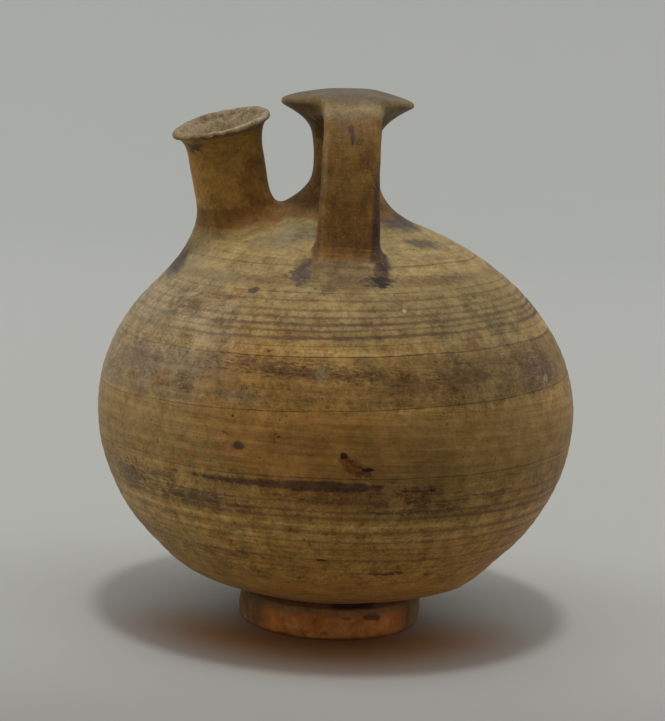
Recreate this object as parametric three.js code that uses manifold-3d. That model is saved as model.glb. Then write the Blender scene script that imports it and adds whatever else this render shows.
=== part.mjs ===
// Stirrup jar of fired clay. A round thrown body on a ring foot has its centre mouth stopped by a solid
// false neck, which carries a disc. Two strap handles run from the disc to the shoulder, and the true
// pouring spout leans outwards beside the neck. Clay is worked round each root on the shoulder.
// Millimetres, +Z up. The origin is on the resting plane under the belly's centre. The spout is towards
// -X, the front handle towards -Y and the rear handle towards +Y.

import * as THREE from 'three';
import { mergeVertices } from 'three/addons/utils/BufferGeometryUtils.js';
import Module from 'manifold-3d';

const wasm = await Module();
wasm.setup();

// Fits
const seatGap = 0.3;
const overrun = 4;

// Body
const footHeight = 9.7;
const bellyRise = 47.6;
const shoulderRise = 52.1;
const bellyRadius = 62.8;
const baseRadius = 24.4;
const bodyWall = 4.8;
const mouthRadius = 7.5;
const shoulderFullness = 1.744;
const undersideFullness = 2.3;

// Ring foot
const footBottomRadius = 23.6;
const footSwell = 0.6;
const footEdge = 1.1;
const recessRadius = 17.6;
const recessTaper = 1.4;

// False neck
const neckRadius = 8.75;
const neckRise = 18;
const neckTipRadius = 5.5;
const neckTipHeight = 3.5;

// Disc on the false neck
const discRadius = 17.3;
const discFlare = 8.6;
const discEdge = 1.7;
const discDome = 2.9;

// Strap handles
const handleTopWidth = 18.5;
const handleWidth = 13.8;
const handleRootWidth = 16.6;
const handleThickness = 5.2;
const handleRootReach = 32.4;
const handleStartReach = 11.5;
const handleTopReach = 25;
const handleTopRise = 3.6;
const handleBow = 24;
const handleTopShift = 0.9;
const handleRootShift = 1.3;

// Spout
const spoutRootReach = 27.7;
const spoutLength = 29.2;
const spoutRadius = 9.5;
const spoutWall = 3.2;
const spoutLipRadius = 12.8;
const spoutLipFlare = 9.5;
const spoutLipEdge = 2.4;
const spoutLeanOut = THREE.MathUtils.degToRad(9.8);
const spoutLeanFront = THREE.MathUtils.degToRad(10.2);
const spoutLipTilt = THREE.MathUtils.degToRad(4.8);

// Clay worked round the roots: how far it climbs the piece and how far it spreads on the shoulder
const neckLutingClimb = 10;
const neckLutingSpread = 12.5;
const spoutLutingClimb = 11.5;
const spoutSaddleClimb = 1.5;
const spoutLutingSpread = 6;
const spoutLutingDrag = 10;
const handleLutingClimb = 4.5;
const handleLutingSpread = 3.6;
const handleLutingDrag = 3.2;

// Smoothness
const bodySides = 48;
const roundSides = 32;
const bodyTurns = 18;
const curveSteps = 4;
const strapSteps = 14;
const strapSides = 16;
const lutingSides = 32;
const lutingSteps = 5;

const bellyHeight = footHeight + bellyRise;
const shoulderTop = bellyHeight + shoulderRise;
const neckTop = shoulderTop + neckRise;
const discRimHeight = neckTop + discFlare;
const discTop = discRimHeight + discEdge + discDome;

// Turns a closed geometry into a solid that can be cut and joined.
function solidOf(geometry) {
  const bare = geometry.clone();
  bare.deleteAttribute('normal');
  bare.deleteAttribute('uv');
  const merged = mergeVertices(bare);
  const index = merged.index.array;
  const triVerts = [];
  for (let i = 0; i < index.length; i += 3) {
    const [a, b, c] = index.slice(i, i + 3);
    if (a !== b && b !== c && c !== a) {
      triVerts.push(a, b, c);
    }
  }
  if (signedVolume(merged.attributes.position, triVerts) < 0) {
    triVerts.reverse();
  }
  const vertProperties = new Float32Array(merged.attributes.position.array);
  const mesh = new wasm.Mesh({ numProp: 3, vertProperties, triVerts: new Uint32Array(triVerts) });
  return new wasm.Manifold(mesh);
}

// Six times the volume inside the triangles, negative when they face inwards.
function signedVolume(position, triVerts) {
  const corners = [new THREE.Vector3(), new THREE.Vector3(), new THREE.Vector3()];
  let sum = 0;
  for (let i = 0; i < triVerts.length; i += 3) {
    corners.forEach((corner, k) => corner.fromBufferAttribute(position, triVerts[i + k]));
    sum += corners[0].dot(corners[1].cross(corners[2]));
  }
  return sum;
}

// Spins an outline of (radius, height) points about the Z axis.
function spun(outline, sides) {
  return new THREE.LatheGeometry(outline, sides).rotateX(Math.PI / 2);
}

// A closed skin over rings of points, with a fan over the first and the last ring.
function lofted(rings) {
  const sides = rings[0].length;
  const points = rings.flat();
  const faces = [];
  for (let k = 0; k < rings.length - 1; k += 1) {
    for (let i = 0; i < sides; i += 1) {
      const a = k * sides + i;
      const b = k * sides + (i + 1) % sides;
      faces.push(a, b, a + sides, b, b + sides, a + sides);
    }
  }
  const last = (rings.length - 1) * sides;
  const bottom = points.push(centreOf(rings[0])) - 1;
  const top = points.push(centreOf(rings[rings.length - 1])) - 1;
  for (let i = 0; i < sides; i += 1) {
    const next = (i + 1) % sides;
    faces.push(bottom, next, i);
    faces.push(top, last + i, last + next);
  }
  return new THREE.BufferGeometry().setFromPoints(points).setIndex(faces);
}

function centreOf(ring) {
  const sum = ring.reduce((total, point) => total.add(point), new THREE.Vector3());
  return sum.divideScalar(ring.length);
}

// How far below the belly the underside would close, so that it passes through the base's edge.
function undersideDrop(grow) {
  const share = (baseRadius + grow) / (bellyRadius + grow);
  const baseTurn = Math.acos(share ** (undersideFullness / 2));
  return { baseTurn, drop: (bellyRise + grow) / Math.sin(baseTurn) };
}

// Outline of the whole body, filled, with its surface moved outwards by grow.
function bodyOutline(grow) {
  const { baseTurn, drop } = undersideDrop(grow);
  const outline = [new THREE.Vector2(0, footHeight - grow)];
  for (let k = 0; k <= bodyTurns; k += 1) {
    const turn = THREE.MathUtils.lerp(-baseTurn, Math.PI / 2, k / bodyTurns);
    const above = turn > 0;
    const rise = above ? shoulderRise + grow : drop;
    const fullness = above ? shoulderFullness : undersideFullness;
    const radius = k === bodyTurns ? 0 : (bellyRadius + grow) * Math.cos(turn) ** (2 / fullness);
    outline.push(new THREE.Vector2(radius, bellyHeight + rise * Math.sin(turn)));
  }
  return outline;
}

function bodyForm(grow) {
  return solidOf(spun(bodyOutline(grow), bodySides));
}

// Height of the shoulder's surface at a distance from the pot's axis.
function shoulderHeight(x, y) {
  const share = Math.min(Math.hypot(x, y) / bellyRadius, 1);
  return bellyHeight + shoulderRise * Math.sqrt(1 - share ** shoulderFullness);
}

// Where the spout stands: its local Z axis runs up the bore from the shoulder's surface.
const spoutPlace = new THREE.Object3D();
spoutPlace.position.set(-spoutRootReach, 0, shoulderHeight(spoutRootReach, 0));
spoutPlace.rotation.set(spoutLeanFront, -spoutLeanOut, 0);
spoutPlace.updateMatrix();

// Points of a smooth bend from one outline point to another, without the first.
function bend(from, control, to) {
  return new THREE.QuadraticBezierCurve(from, control, to).getPoints(curveSteps).slice(1);
}

// Outline of the spout's outer face from below the shoulder up to the lip's crest.
function spoutOuter(grow) {
  const foot = new THREE.Vector2(spoutRadius + grow, -bodyWall - overrun);
  const waist = new THREE.Vector2(spoutRadius + grow, spoutLength - spoutLipFlare);
  const lip = new THREE.Vector2(spoutLipRadius + grow, spoutLength - spoutLipEdge / 2);
  const control = new THREE.Vector2(spoutRadius + grow, spoutLength - spoutLipEdge);
  return [foot, waist, ...bend(waist, control, lip)];
}

// Outline of the bore, from the lip's crest down to below the body's wall.
function spoutBore(reach) {
  const throatRadius = spoutRadius - spoutWall;
  const crest = new THREE.Vector2(spoutLipRadius - spoutLipEdge / 2, spoutLength);
  const brink = new THREE.Vector2(spoutLipRadius - spoutLipEdge, spoutLength - spoutLipEdge / 2);
  const throat = new THREE.Vector2(throatRadius, spoutLength - spoutLipFlare);
  const control = new THREE.Vector2(throatRadius, spoutLength - spoutLipEdge);
  const foot = new THREE.Vector2(throatRadius, -reach);
  return [crest, brink, ...bend(brink, control, throat), foot];
}

// Stands a spun outline on the spout's place, with its lip tipped further out than the bore leans.
function spoutForm(outline) {
  const geometry = spun(outline, roundSides);
  const position = geometry.attributes.position;
  for (let i = 0; i < position.count; i += 1) {
    const share = Math.max(1 + (position.getZ(i) - spoutLength) / spoutLipFlare, 0);
    position.setZ(i, position.getZ(i) + position.getX(i) * Math.tan(spoutLipTilt) * share);
  }
  return solidOf(geometry.applyMatrix4(spoutPlace.matrix));
}

function makeSpout(shoulderSeat) {
  const outline = [...spoutOuter(0), ...spoutBore(bodyWall + overrun)];
  outline.push(outline[0].clone());
  return spoutForm(outline).subtract(shoulderSeat);
}

// The spout as a full round bar, moved outwards by grow.
function spoutBar(grow) {
  const outline = spoutOuter(grow);
  outline.push(new THREE.Vector2(0, spoutLength));
  outline.unshift(new THREE.Vector2(0, outline[0].y));
  return spoutForm(outline);
}

// The hole through the shoulder that the spout's bore opens into.
function pouringHole() {
  const depth = 2 * bodyWall + overrun;
  const radius = spoutRadius - spoutWall;
  const hole = new THREE.CylinderGeometry(radius, radius, 2 * depth, roundSides);
  hole.rotateX(Math.PI / 2);
  return solidOf(hole.applyMatrix4(spoutPlace.matrix));
}

// An upright cylinder on the pot's axis.
function post(radius, low, high) {
  const cylinder = new THREE.CylinderGeometry(radius, radius, high - low, roundSides);
  cylinder.rotateX(Math.PI / 2);
  cylinder.translate(0, 0, (low + high) / 2);
  return solidOf(cylinder);
}

function makeBody() {
  const cavity = bodyForm(-bodyWall);
  const mouth = post(mouthRadius, bellyHeight, shoulderTop + overrun);
  return bodyForm(0).subtract(cavity).subtract(mouth).subtract(pouringHole());
}

function makeFootRing() {
  const swellHeight = footHeight / 3;
  const outer = [
    new THREE.Vector2(recessRadius, 0),
    new THREE.Vector2(footBottomRadius - footEdge, 0),
    new THREE.Vector2(footBottomRadius, footEdge / 2),
    new THREE.Vector2(footBottomRadius + footSwell, swellHeight),
  ];
  const waist = new THREE.Vector2(footBottomRadius, 2 * swellHeight);
  const brim = new THREE.Vector2(baseRadius - seatGap, footHeight);
  const inner = new THREE.Vector2(recessRadius - recessTaper, footHeight);
  const outline = [...outer, ...bend(outer[3], waist, brim), inner, outer[0].clone()];
  return solidOf(spun(outline, bodySides));
}

// The stem stands on the shoulder, with a plug below it in the mouth and a tip above it in the disc.
function makeFalseNeck(shoulderSeat) {
  const plug = post(mouthRadius - seatGap, shoulderTop - bodyWall, shoulderTop + overrun);
  const stem = post(neckRadius, shoulderTop - bodyWall, neckTop);
  const tip = post(neckTipRadius, neckTop - overrun, neckTop + neckTipHeight);
  return stem.subtract(shoulderSeat).add(plug).add(tip);
}

function discOutline(grow) {
  const stemEdge = new THREE.Vector2(neckRadius + grow, neckTop - grow);
  const control = new THREE.Vector2(neckRadius + grow, neckTop + discFlare / 2 - grow);
  const rimLow = new THREE.Vector2(discRadius - discEdge / 2 + grow, discRimHeight - grow);
  const rim = new THREE.Vector2(discRadius + grow, discRimHeight + discEdge / 2);
  const rimHigh = new THREE.Vector2(discRadius - discEdge / 2 + grow, discRimHeight + discEdge + grow);
  const domeSide = new THREE.Vector2(discRadius / 2, discTop - discDome / 5 + grow);
  const crown = new THREE.Vector2(0, discTop + grow);
  const floor = new THREE.Vector2(0, neckTop - grow);
  return [floor, stemEdge, ...bend(stemEdge, control, rimLow), rim, rimHigh, domeSide, crown];
}

function makeDisc() {
  const disc = solidOf(spun(discOutline(0), roundSides));
  const socket = post(neckTipRadius + seatGap, neckTop - overrun, neckTop + neckTipHeight + seatGap);
  return disc.subtract(socket);
}

// Centre line of the front handle, from inside the disc out over its rim and down into the shoulder.
function handleLine() {
  const rootHeight = shoulderHeight(0, handleRootReach) - overrun;
  return new THREE.CubicBezierCurve3(
    new THREE.Vector3(handleTopShift, -handleStartReach, discTop - discDome - handleThickness / 2),
    new THREE.Vector3(handleTopShift, -handleTopReach, discRimHeight + handleTopRise),
    new THREE.Vector3(handleRootShift, -handleRootReach, rootHeight + handleBow),
    new THREE.Vector3(handleRootShift, -handleRootReach, rootHeight),
  );
}

// A point of the strap's section: angle runs round it, across is the width and through the thickness.
function strapPoint(angle, width, thickness) {
  const round = (value) => Math.sign(value) * Math.sqrt(Math.abs(value));
  const across = width / 2 * round(Math.cos(angle));
  const through = thickness / 2 * round(Math.sin(angle));
  return { across, through };
}

function handleRing(line, share, grow) {
  const centre = line.getPoint(share);
  const out = line.getTangent(share).cross(new THREE.Vector3(1, 0, 0));
  const topWidth = THREE.MathUtils.lerp(handleWidth, handleTopWidth, (1 - share) ** 4);
  const width = THREE.MathUtils.lerp(topWidth, handleRootWidth, share ** 3);
  const ring = [];
  for (let i = 0; i < strapSides; i += 1) {
    const angle = 2 * Math.PI * (i + 0.5) / strapSides;
    const { across, through } = strapPoint(angle, width + 2 * grow, handleThickness + 2 * grow);
    ring.push(centre.clone().addScaledVector(out, through).add(new THREE.Vector3(across, 0, 0)));
  }
  return ring;
}

function handleForm(grow) {
  const line = handleLine();
  const rings = [];
  for (let k = 0; k <= strapSteps; k += 1) {
    rings.push(handleRing(line, k / strapSteps, grow));
  }
  return solidOf(lofted(rings));
}

function makeHandle(shoulderSeat) {
  const discSeat = solidOf(spun(discOutline(seatGap), roundSides));
  return handleForm(0).subtract(shoulderSeat).subtract(discSeat);
}

// Worked clay round a root. Each side is a curve that leaves the piece along it and lands flush on the
// shoulder. side(angle) gives the point where the curve starts on the piece, the way out from the piece,
// how far it spreads and how far below its start the shoulder is.
function lutingForm(side, down, grow) {
  const rings = Array.from({ length: lutingSteps + 2 }, () => []);
  for (let i = 0; i < lutingSides; i += 1) {
    const { start, out, spread } = side(2 * Math.PI * i / lutingSides);
    const landing = landingPoint(start, out, down, spread);
    const inwards = surfaceWay(landing, out).negate();
    const drop = start.distanceTo(landing);
    const curve = new THREE.CubicBezierCurve3(
      start.clone().addScaledVector(out, grow),
      start.clone().addScaledVector(down, drop / 2).addScaledVector(out, grow),
      landing.clone().addScaledVector(inwards, spread / 2).add(new THREE.Vector3(0, 0, grow)),
      landing.clone().addScaledVector(out, grow),
    );
    for (let k = 0; k <= lutingSteps; k += 1) {
      rings[k].push(curve.getPoint(k / lutingSteps));
    }
    rings[lutingSteps + 1].push(landing.clone().add(new THREE.Vector3(0, 0, -overrun)));
  }
  return solidOf(lofted(rings));
}

// Where the worked clay ends on the shoulder.
function landingPoint(start, out, down, spread) {
  const foot = start.clone();
  for (let k = 0; k < lutingSteps; k += 1) {
    foot.addScaledVector(down, foot.z - shoulderHeight(foot.x, foot.y));
  }
  foot.addScaledVector(out, spread);
  foot.z = shoulderHeight(foot.x, foot.y);
  return foot;
}

// The shoulder's direction at a point, going the way that out points.
function surfaceWay(point, out) {
  const step = out.clone().setZ(0).setLength(seatGap);
  const rise = shoulderHeight(point.x + step.x, point.y + step.y) - point.z;
  return step.setZ(rise).normalize();
}

function neckLutingForm(grow) {
  const down = new THREE.Vector3(0, 0, -1);
  const start = shoulderHeight(neckRadius, 0) + neckLutingClimb;
  const side = (angle) => {
    const out = new THREE.Vector3(Math.cos(angle), Math.sin(angle), 0);
    return { start: out.clone().multiplyScalar(neckRadius).setZ(start), out, spread: neckLutingSpread };
  };
  return lutingForm(side, down, grow);
}

// The clay at the spout spreads furthest on its outer side, down the steep shoulder, and climbs highest
// on the side of the neck.
function spoutLutingForm(grow) {
  const down = new THREE.Vector3(0, 0, -1).transformDirection(spoutPlace.matrix);
  const side = (angle) => {
    const local = new THREE.Vector3(Math.cos(angle), Math.sin(angle), 0);
    const climb = spoutLutingClimb + spoutSaddleClimb * Math.max(local.x, 0);
    const spread = spoutLutingSpread + spoutLutingDrag * ((1 - local.x) / 2) ** 3;
    const out = local.clone().transformDirection(spoutPlace.matrix);
    const start = local.multiplyScalar(spoutRadius).applyMatrix4(spoutPlace.matrix);
    start.addScaledVector(down, start.z - shoulderHeight(start.x, start.y) - climb);
    return { start, out, spread };
  };
  return lutingForm(side, down, grow);
}

function handleLutingForm(grow) {
  const line = handleLine();
  const down = line.getTangent(1);
  const base = line.getPoint(1).addScaledVector(down, -overrun - handleLutingClimb);
  const side = (angle) => {
    const { across, through } = strapPoint(angle, handleRootWidth, handleThickness);
    const out = new THREE.Vector3(Math.cos(angle), -Math.sin(angle), 0);
    const start = base.clone().add(new THREE.Vector3(across, -through, 0));
    const drag = Math.max(Math.sin(angle), 0) * handleLutingDrag;
    return { start, out, spread: handleLutingSpread + drag };
  };
  return lutingForm(side, down, grow);
}

function makeNeckLuting(shoulderSeat) {
  const hole = post(neckRadius + seatGap, bellyHeight, neckTop);
  return neckLutingForm(0).subtract(shoulderSeat).subtract(hole);
}

function makeSpoutLuting(shoulderSeat, neckLutingSeat) {
  const hole = spoutBar(seatGap);
  return spoutLutingForm(0).subtract(shoulderSeat).subtract(hole).subtract(neckLutingSeat);
}

function makeHandleLuting(shoulderSeat, neckLutingSeat) {
  return handleLutingForm(0).subtract(shoulderSeat).subtract(handleForm(seatGap)).subtract(neckLutingSeat);
}

// Fired clay in the pot's colours: buff slip, worn brown paint and the orange clay of the foot.
function clay(color, roughness) {
  return new THREE.MeshStandardMaterial({ color, roughness, metalness: 0 });
}

const buffClay = clay(0xa58d5c, 0.62);
const paintedClay = clay(0x7d5a2f, 0.58);
const paleClay = clay(0xb3a078, 0.7);
const footClay = clay(0xa8734a, 0.75);

function meshOf(name, solid, material) {
  const { vertProperties, triVerts } = solid.getMesh();
  const geometry = new THREE.BufferGeometry();
  geometry.setAttribute('position', new THREE.BufferAttribute(vertProperties, 3));
  geometry.setIndex(new THREE.BufferAttribute(triVerts, 1));
  geometry.computeVertexNormals();
  const mesh = new THREE.Mesh(geometry, material);
  mesh.name = name;
  return mesh;
}

function buildJar() {
  const shoulderSeat = bodyForm(seatGap);
  const neckLutingSeat = neckLutingForm(seatGap);
  const jar = new THREE.Group();
  jar.add(meshOf('body', makeBody(), buffClay));
  jar.add(meshOf('foot_ring', makeFootRing(), footClay));
  jar.add(meshOf('false_neck', makeFalseNeck(shoulderSeat), paintedClay));
  jar.add(meshOf('false_neck_disc', makeDisc(), paleClay));
  jar.add(meshOf('spout', makeSpout(shoulderSeat), paintedClay));
  jar.add(meshOf('neck_luting', makeNeckLuting(shoulderSeat), paintedClay));
  jar.add(meshOf('spout_luting', makeSpoutLuting(shoulderSeat, neckLutingSeat), buffClay));
  const handle = makeHandle(shoulderSeat);
  const handleLuting = makeHandleLuting(shoulderSeat, neckLutingSeat);
  for (const [name, turn] of [['front', 0], ['rear', Math.PI]]) {
    const side = new THREE.Group();
    side.rotation.z = turn;
    side.add(meshOf(`${name}_handle`, handle, paintedClay));
    side.add(meshOf(`${name}_handle_luting`, handleLuting, paintedClay));
    jar.add(side);
  }
  return jar;
}

export default buildJar();
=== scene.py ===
"""A painted stirrup jar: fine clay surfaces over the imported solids, and the studio round them.

On the jar, lengths are in millimetres and angles in degrees until a mesh is made. The studio and the
camera are in metres. The jar stands on its foot at the origin, its spout towards -X and its near handle
towards -Y, where the camera is.
"""
import math

import bpy
import numpy as np
from mathutils import Euler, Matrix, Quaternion, Vector


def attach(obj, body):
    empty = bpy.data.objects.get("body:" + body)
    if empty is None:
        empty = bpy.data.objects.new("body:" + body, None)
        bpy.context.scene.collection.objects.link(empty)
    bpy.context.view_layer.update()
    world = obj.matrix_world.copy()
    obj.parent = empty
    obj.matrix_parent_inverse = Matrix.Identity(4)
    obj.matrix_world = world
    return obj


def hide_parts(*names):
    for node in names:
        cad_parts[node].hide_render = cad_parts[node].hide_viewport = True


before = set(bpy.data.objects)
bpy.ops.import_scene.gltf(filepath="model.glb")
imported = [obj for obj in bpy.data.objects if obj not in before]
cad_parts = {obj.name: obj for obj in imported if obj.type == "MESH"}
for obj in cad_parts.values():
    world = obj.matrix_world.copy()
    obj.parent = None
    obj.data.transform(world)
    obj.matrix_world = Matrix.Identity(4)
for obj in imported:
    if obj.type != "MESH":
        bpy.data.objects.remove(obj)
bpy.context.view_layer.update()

MM = 0.001
# Coarser skins while trying things out
COARSE = 1

# Body: a flat base on the foot ring, the widest circle, and a shoulder that the posts stand on.
FOOT_HEIGHT = 9.7
BELLY_HEIGHT = 57.3
SHOULDER_RISE = 52.1
BELLY_RADIUS = 62.45
BASE_RADIUS = 24.4
BODY_WALL = 4.8
SHOULDER_FULLNESS = 1.744
UNDERSIDE_FULLNESS = 2.3

# The underside hangs unevenly round the foot: the height where that starts, how far below it is full, its
# slope and bend towards +X, its lift in the middle, and its least and greatest depth
SAG_START = 23
SAG_RAMP = 12
SAG_SLOPE = 0.013
SAG_BEND = 0.0014
SAG_LIFT = 0.4
SAG_LIMITS = (-0.4, 1.7)

# Foot ring
FOOT_SHIFT = 0.5
FOOT_RADIUS = 23.6
RECESS_RADIUS = 17.6

# False neck and its disc
NECK_RADIUS = 8.75
NECK_PLUG_LOW = 95
NECK_ROOT_TOP = 114
NECK_TOP = 127.4
NECK_WAIST = 7.9
NECK_SHIFT = -0.3
DISC_RADIUS = 17.3
DISC_RIM_HEIGHT = 136.0
DISC_EDGE = 1.7
DISC_TOP = 140.45

# Strap handles
HANDLE_TOP_WIDTH = 18.5
HANDLE_WIDTH = 13.8
HANDLE_ROOT_WIDTH = 16.6
HANDLE_THICKNESS = 5.2
HANDLE_ROOT_REACH = 32.4
HANDLE_START_REACH = 11.5
HANDLE_TOP_REACH = 25.0
HANDLE_TOP_HEIGHT = 139.6
HANDLE_BOW = 24.0
HANDLE_TOP_SHIFT = 0.9
HANDLE_ROOT_SHIFT = 1.3
HANDLE_START_DEPTH = 2.75
HANDLE_ROOT_DEPTH = 4

# Spout
SPOUT_REACH = 27.7
SPOUT_LENGTH = 29.2
SPOUT_RADIUS = 9.5
SPOUT_WALL = 3.2
SPOUT_LIP_RADIUS = 12.8
SPOUT_LIP_FLARE = 9.5
SPOUT_LIP_EDGE = 2.4
SPOUT_LEAN_OUT = 9.8
SPOUT_LEAN_FRONT = 10.2
SPOUT_LIP_TILT = 4.8

# Clay worked on at the roots: how far it climbs the post and spreads over the shoulder
NECK_FILLET = (10.0, 12.5)
HANDLE_FILLET = (4.5, 3.6)
HANDLE_DRAG = 3.2
WEB_FILLET = (3.5, 3.5)
SPOUT_CLIMB = 11.5
SPOUT_CLIMB_LOSS = 3.0
SPOUT_SPREAD = 6.0
SPOUT_DRAG = 10.0

# The clay that is left between the false neck and the spout: its place, radii and thickness
SADDLE_PLACE = (-14.0, 0, 109)
SADDLE_RADII = (5.5, 9, 7)
SADDLE_DEPTH = 1.7

# Unevenness of the hand-made surfaces, in layers: height, size of the lumps and seed
BODY_LUMPS = ((0.13, 34, 1), (0.045, 11, 2), (0.012, 3, 3))
NECK_LUMPS = ((0.1, 12, 5), (0.05, 5, 6))
STRAP_LUMPS = ((0.09, 9, 8), (0.05, 3.5, 9))
SPOUT_LUMPS = ((0.1, 11, 11), (0.05, 4.5, 12))
LIP_WEAR = ((0.09, 6, 13), (0.05, 1.8, 14))
LIP_LOSS = 0.08
FOOT_LUMPS = ((0.16, 14, 21), (0.09, 5, 22), (0.03, 1.8, 23))
FOOT_LEAN = 0.3
RELIEF_LIMITS = (-0.4, 0.33)

# Where two pieces share a surface, the one that ends dips below the other by this much
SEAM_SINK = 0.06
HIDDEN_SINK = 0.5
LUTING_SINK = 0.25
STRAP_ROUNDING = 3.2
SLOPE_STEP = 0.02


def ease(value):
    """Goes smoothly from 0 to 1 as value does."""
    value = np.clip(value, 0, 1)
    return value * value * (3 - 2 * value)


def lumps(points, size, seed, waves=14):
    """Smooth random relief of about unit height, with lumps of about that size."""
    rng = np.random.default_rng(seed)
    ways = rng.normal(size=(waves, 3))
    ways /= np.linalg.norm(ways, axis=1)[:, None]
    ways *= (math.pi / size * rng.uniform(0.6, 1.4, waves))[:, None]
    phases = rng.uniform(0, 2 * math.pi, waves)
    return np.sin(points @ ways.T + phases).sum(axis=1) / math.sqrt(waves / 2)


def layered(points, layers):
    """Random relief of several layers of lumps."""
    return sum(height * lumps(points, size, seed) for height, size, seed in layers)


def round_angles(columns):
    """The angles of that many points round a ring, in radians."""
    return np.linspace(0, 2 * math.pi, columns, endpoint=False)


# Scars in the body's clay: angle from the camera's side, height, half width and half height in mm,
# turn of the scar in degrees, and depth
SCARS = (
    (4.6, 54.6, 3.1, 0.75, -28, 0.42),
    (7.6, 53.0, 1.4, 0.8, 5, 0.55),
    (-20.5, 56.2, 2.2, 1.5, 10, 0.22),
    (-31.0, 52.0, 2.4, 0.6, -40, 0.18),
    (14.5, 44.7, 2.4, 1.5, 8, 0.25),
    (-48.0, 69.0, 1.3, 2.6, 0, 0.3),
    (60.0, 72.0, 1.2, 1.1, 0, 0.3),
    (-19.0, 38.2, 1.3, 0.6, 0, 0.15),
    (-13.0, 37.7, 1.0, 0.5, 0, 0.15),
    (19.0, 89.0, 1.0, 0.6, 20, 0.2),
    (-3.0, 75.0, 1.6, 3.0, 0, 0.12),
)


def scar_depth(points):
    """How deep the body's clay is chipped and scratched at each point."""
    angle = np.degrees(np.arctan2(points[:, 0], -points[:, 1]))
    depth = np.zeros(len(points))
    rough = 1 + 0.25 * lumps(points, 1.2, 31)
    for at, height, half_width, half_height, turn, deep in SCARS:
        across = (angle - at) * math.radians(1) * BELLY_RADIUS
        up = points[:, 2] - height
        c, s = math.cos(math.radians(turn)), math.sin(math.radians(turn))
        u = (across * c + up * s) / half_width
        v = (up * c - across * s) / half_height
        depth += deep * ease(1.6 * (1.15 * rough - np.hypot(u, v)))
    return depth


def body_relief(points):
    """How far the hand-made surface stands out from the true turned form."""
    height = points[:, 2]
    turned = 0.035 * np.sin(height * 2.1 + 0.8 * np.sin(height * 0.37)) + 0.02 * np.sin(height * 5.3 + 1)
    uneven = np.clip(layered(points, BODY_LUMPS) + turned, *RELIEF_LIMITS)
    return uneven - scar_depth(points) + sag(points)


def sag(points):
    """How far the underside hangs lower round the foot, most of all on the right, and higher in front."""
    across = points[:, 0]
    near_foot = ease((SAG_START - points[:, 2]) / SAG_RAMP)
    return near_foot * np.clip(SAG_SLOPE * across + SAG_BEND * across**2 - SAG_LIFT, *SAG_LIMITS)


UNDERSIDE_TURN = math.acos((BASE_RADIUS / BELLY_RADIUS) ** (UNDERSIDE_FULLNESS / 2))
UNDERSIDE_DROP = (BELLY_HEIGHT - FOOT_HEIGHT) / math.sin(UNDERSIDE_TURN)


def turned_level(points, grow=0.0):
    """Distance from the body's true outline, below zero inside it."""
    radius = np.hypot(points[:, 0], points[:, 1]) + 1e-6
    up = points[:, 2] - BELLY_HEIGHT
    power = np.where(up > 0, SHOULDER_FULLNESS, UNDERSIDE_FULLNESS)
    rise = np.where(up > 0, SHOULDER_RISE, UNDERSIDE_DROP) + grow
    wide = BELLY_RADIUS + grow
    value = (radius / wide) ** power + (up / rise) ** 2
    slope = np.hypot(power * (radius / wide) ** (power - 1) / wide, 2 * up / rise**2)
    return (value - 1) / np.maximum(slope, 1e-4)


def body_level(points):
    return turned_level(points) - body_relief(points)


def shoulder_height(radius):
    share = np.maximum(1 - (radius / BELLY_RADIUS) ** SHOULDER_FULLNESS, 0)
    return BELLY_HEIGHT + SHOULDER_RISE * np.sqrt(share)


def curve(points, steps):
    """Points of a Bezier curve of any order."""
    points = [np.array(p, float) for p in points]
    share = np.linspace(0, 1, steps + 1)[:, None]
    order = len(points) - 1
    parts = [math.comb(order, i) * share**i * (1 - share) ** (order - i) * p for i, p in enumerate(points)]
    return sum(parts)


def spun_level(radius, height, outline):
    """Distance from a turned form with that outline, which starts and ends on the axis."""
    near = np.full(len(radius), 1e9)
    inside = np.zeros(len(radius), bool)
    for (r0, z0), (r1, z1) in zip(outline[:-1], outline[1:]):
        along = np.array([r1 - r0, z1 - z0])
        length = max(along @ along, 1e-9)
        share = np.clip(((radius - r0) * along[0] + (height - z0) * along[1]) / length, 0, 1)
        near = np.minimum(near, np.hypot(radius - r0 - share * along[0], height - z0 - share * along[1]))
        if z0 != z1:
            edge = r0 + (height - z0) / (z1 - z0) * along[0]
            inside ^= ((z0 > height) != (z1 > height)) & (radius < edge)
    return np.where(inside, -near, near)


def disc_side():
    """The disc's outline from its stem, round the rim, to the crown."""
    rim_low = (DISC_RADIUS - 0.9, DISC_RIM_HEIGHT - 0.5)
    rim_high = (DISC_RADIUS - 1.1, DISC_RIM_HEIGHT + DISC_EDGE + 0.1)
    under = curve([(NECK_RADIUS, NECK_TOP), (NECK_RADIUS, NECK_TOP + 4.3), rim_low], 14)
    rim_foot = (DISC_RADIUS + 0.4, DISC_RIM_HEIGHT - 0.1)
    rim_brow = (DISC_RADIUS + 0.3, DISC_RIM_HEIGHT + 1.5)
    rim = curve([rim_low, rim_foot, rim_brow, rim_high], 8)
    top = curve([rim_high, (DISC_RADIUS / 2, DISC_TOP + 0.1), (0, DISC_TOP)], 14)
    return np.concatenate([under, rim[1:], top[1:]])


NECK_SIDE = curve([(NECK_RADIUS, NECK_ROOT_TOP), (NECK_WAIST, 120), (NECK_WAIST, 125), disc_side()[3]], 10)
NECK_PLUG = [(0, NECK_PLUG_LOW), (NECK_RADIUS, NECK_PLUG_LOW)]
NECK_OUTLINE = np.concatenate([NECK_PLUG, NECK_SIDE, disc_side()[4:]])


def neck_level(points):
    radius = np.hypot(points[:, 0] - NECK_SHIFT, points[:, 1])
    return spun_level(radius, points[:, 2], NECK_OUTLINE) - layered(points, NECK_LUMPS)


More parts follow.
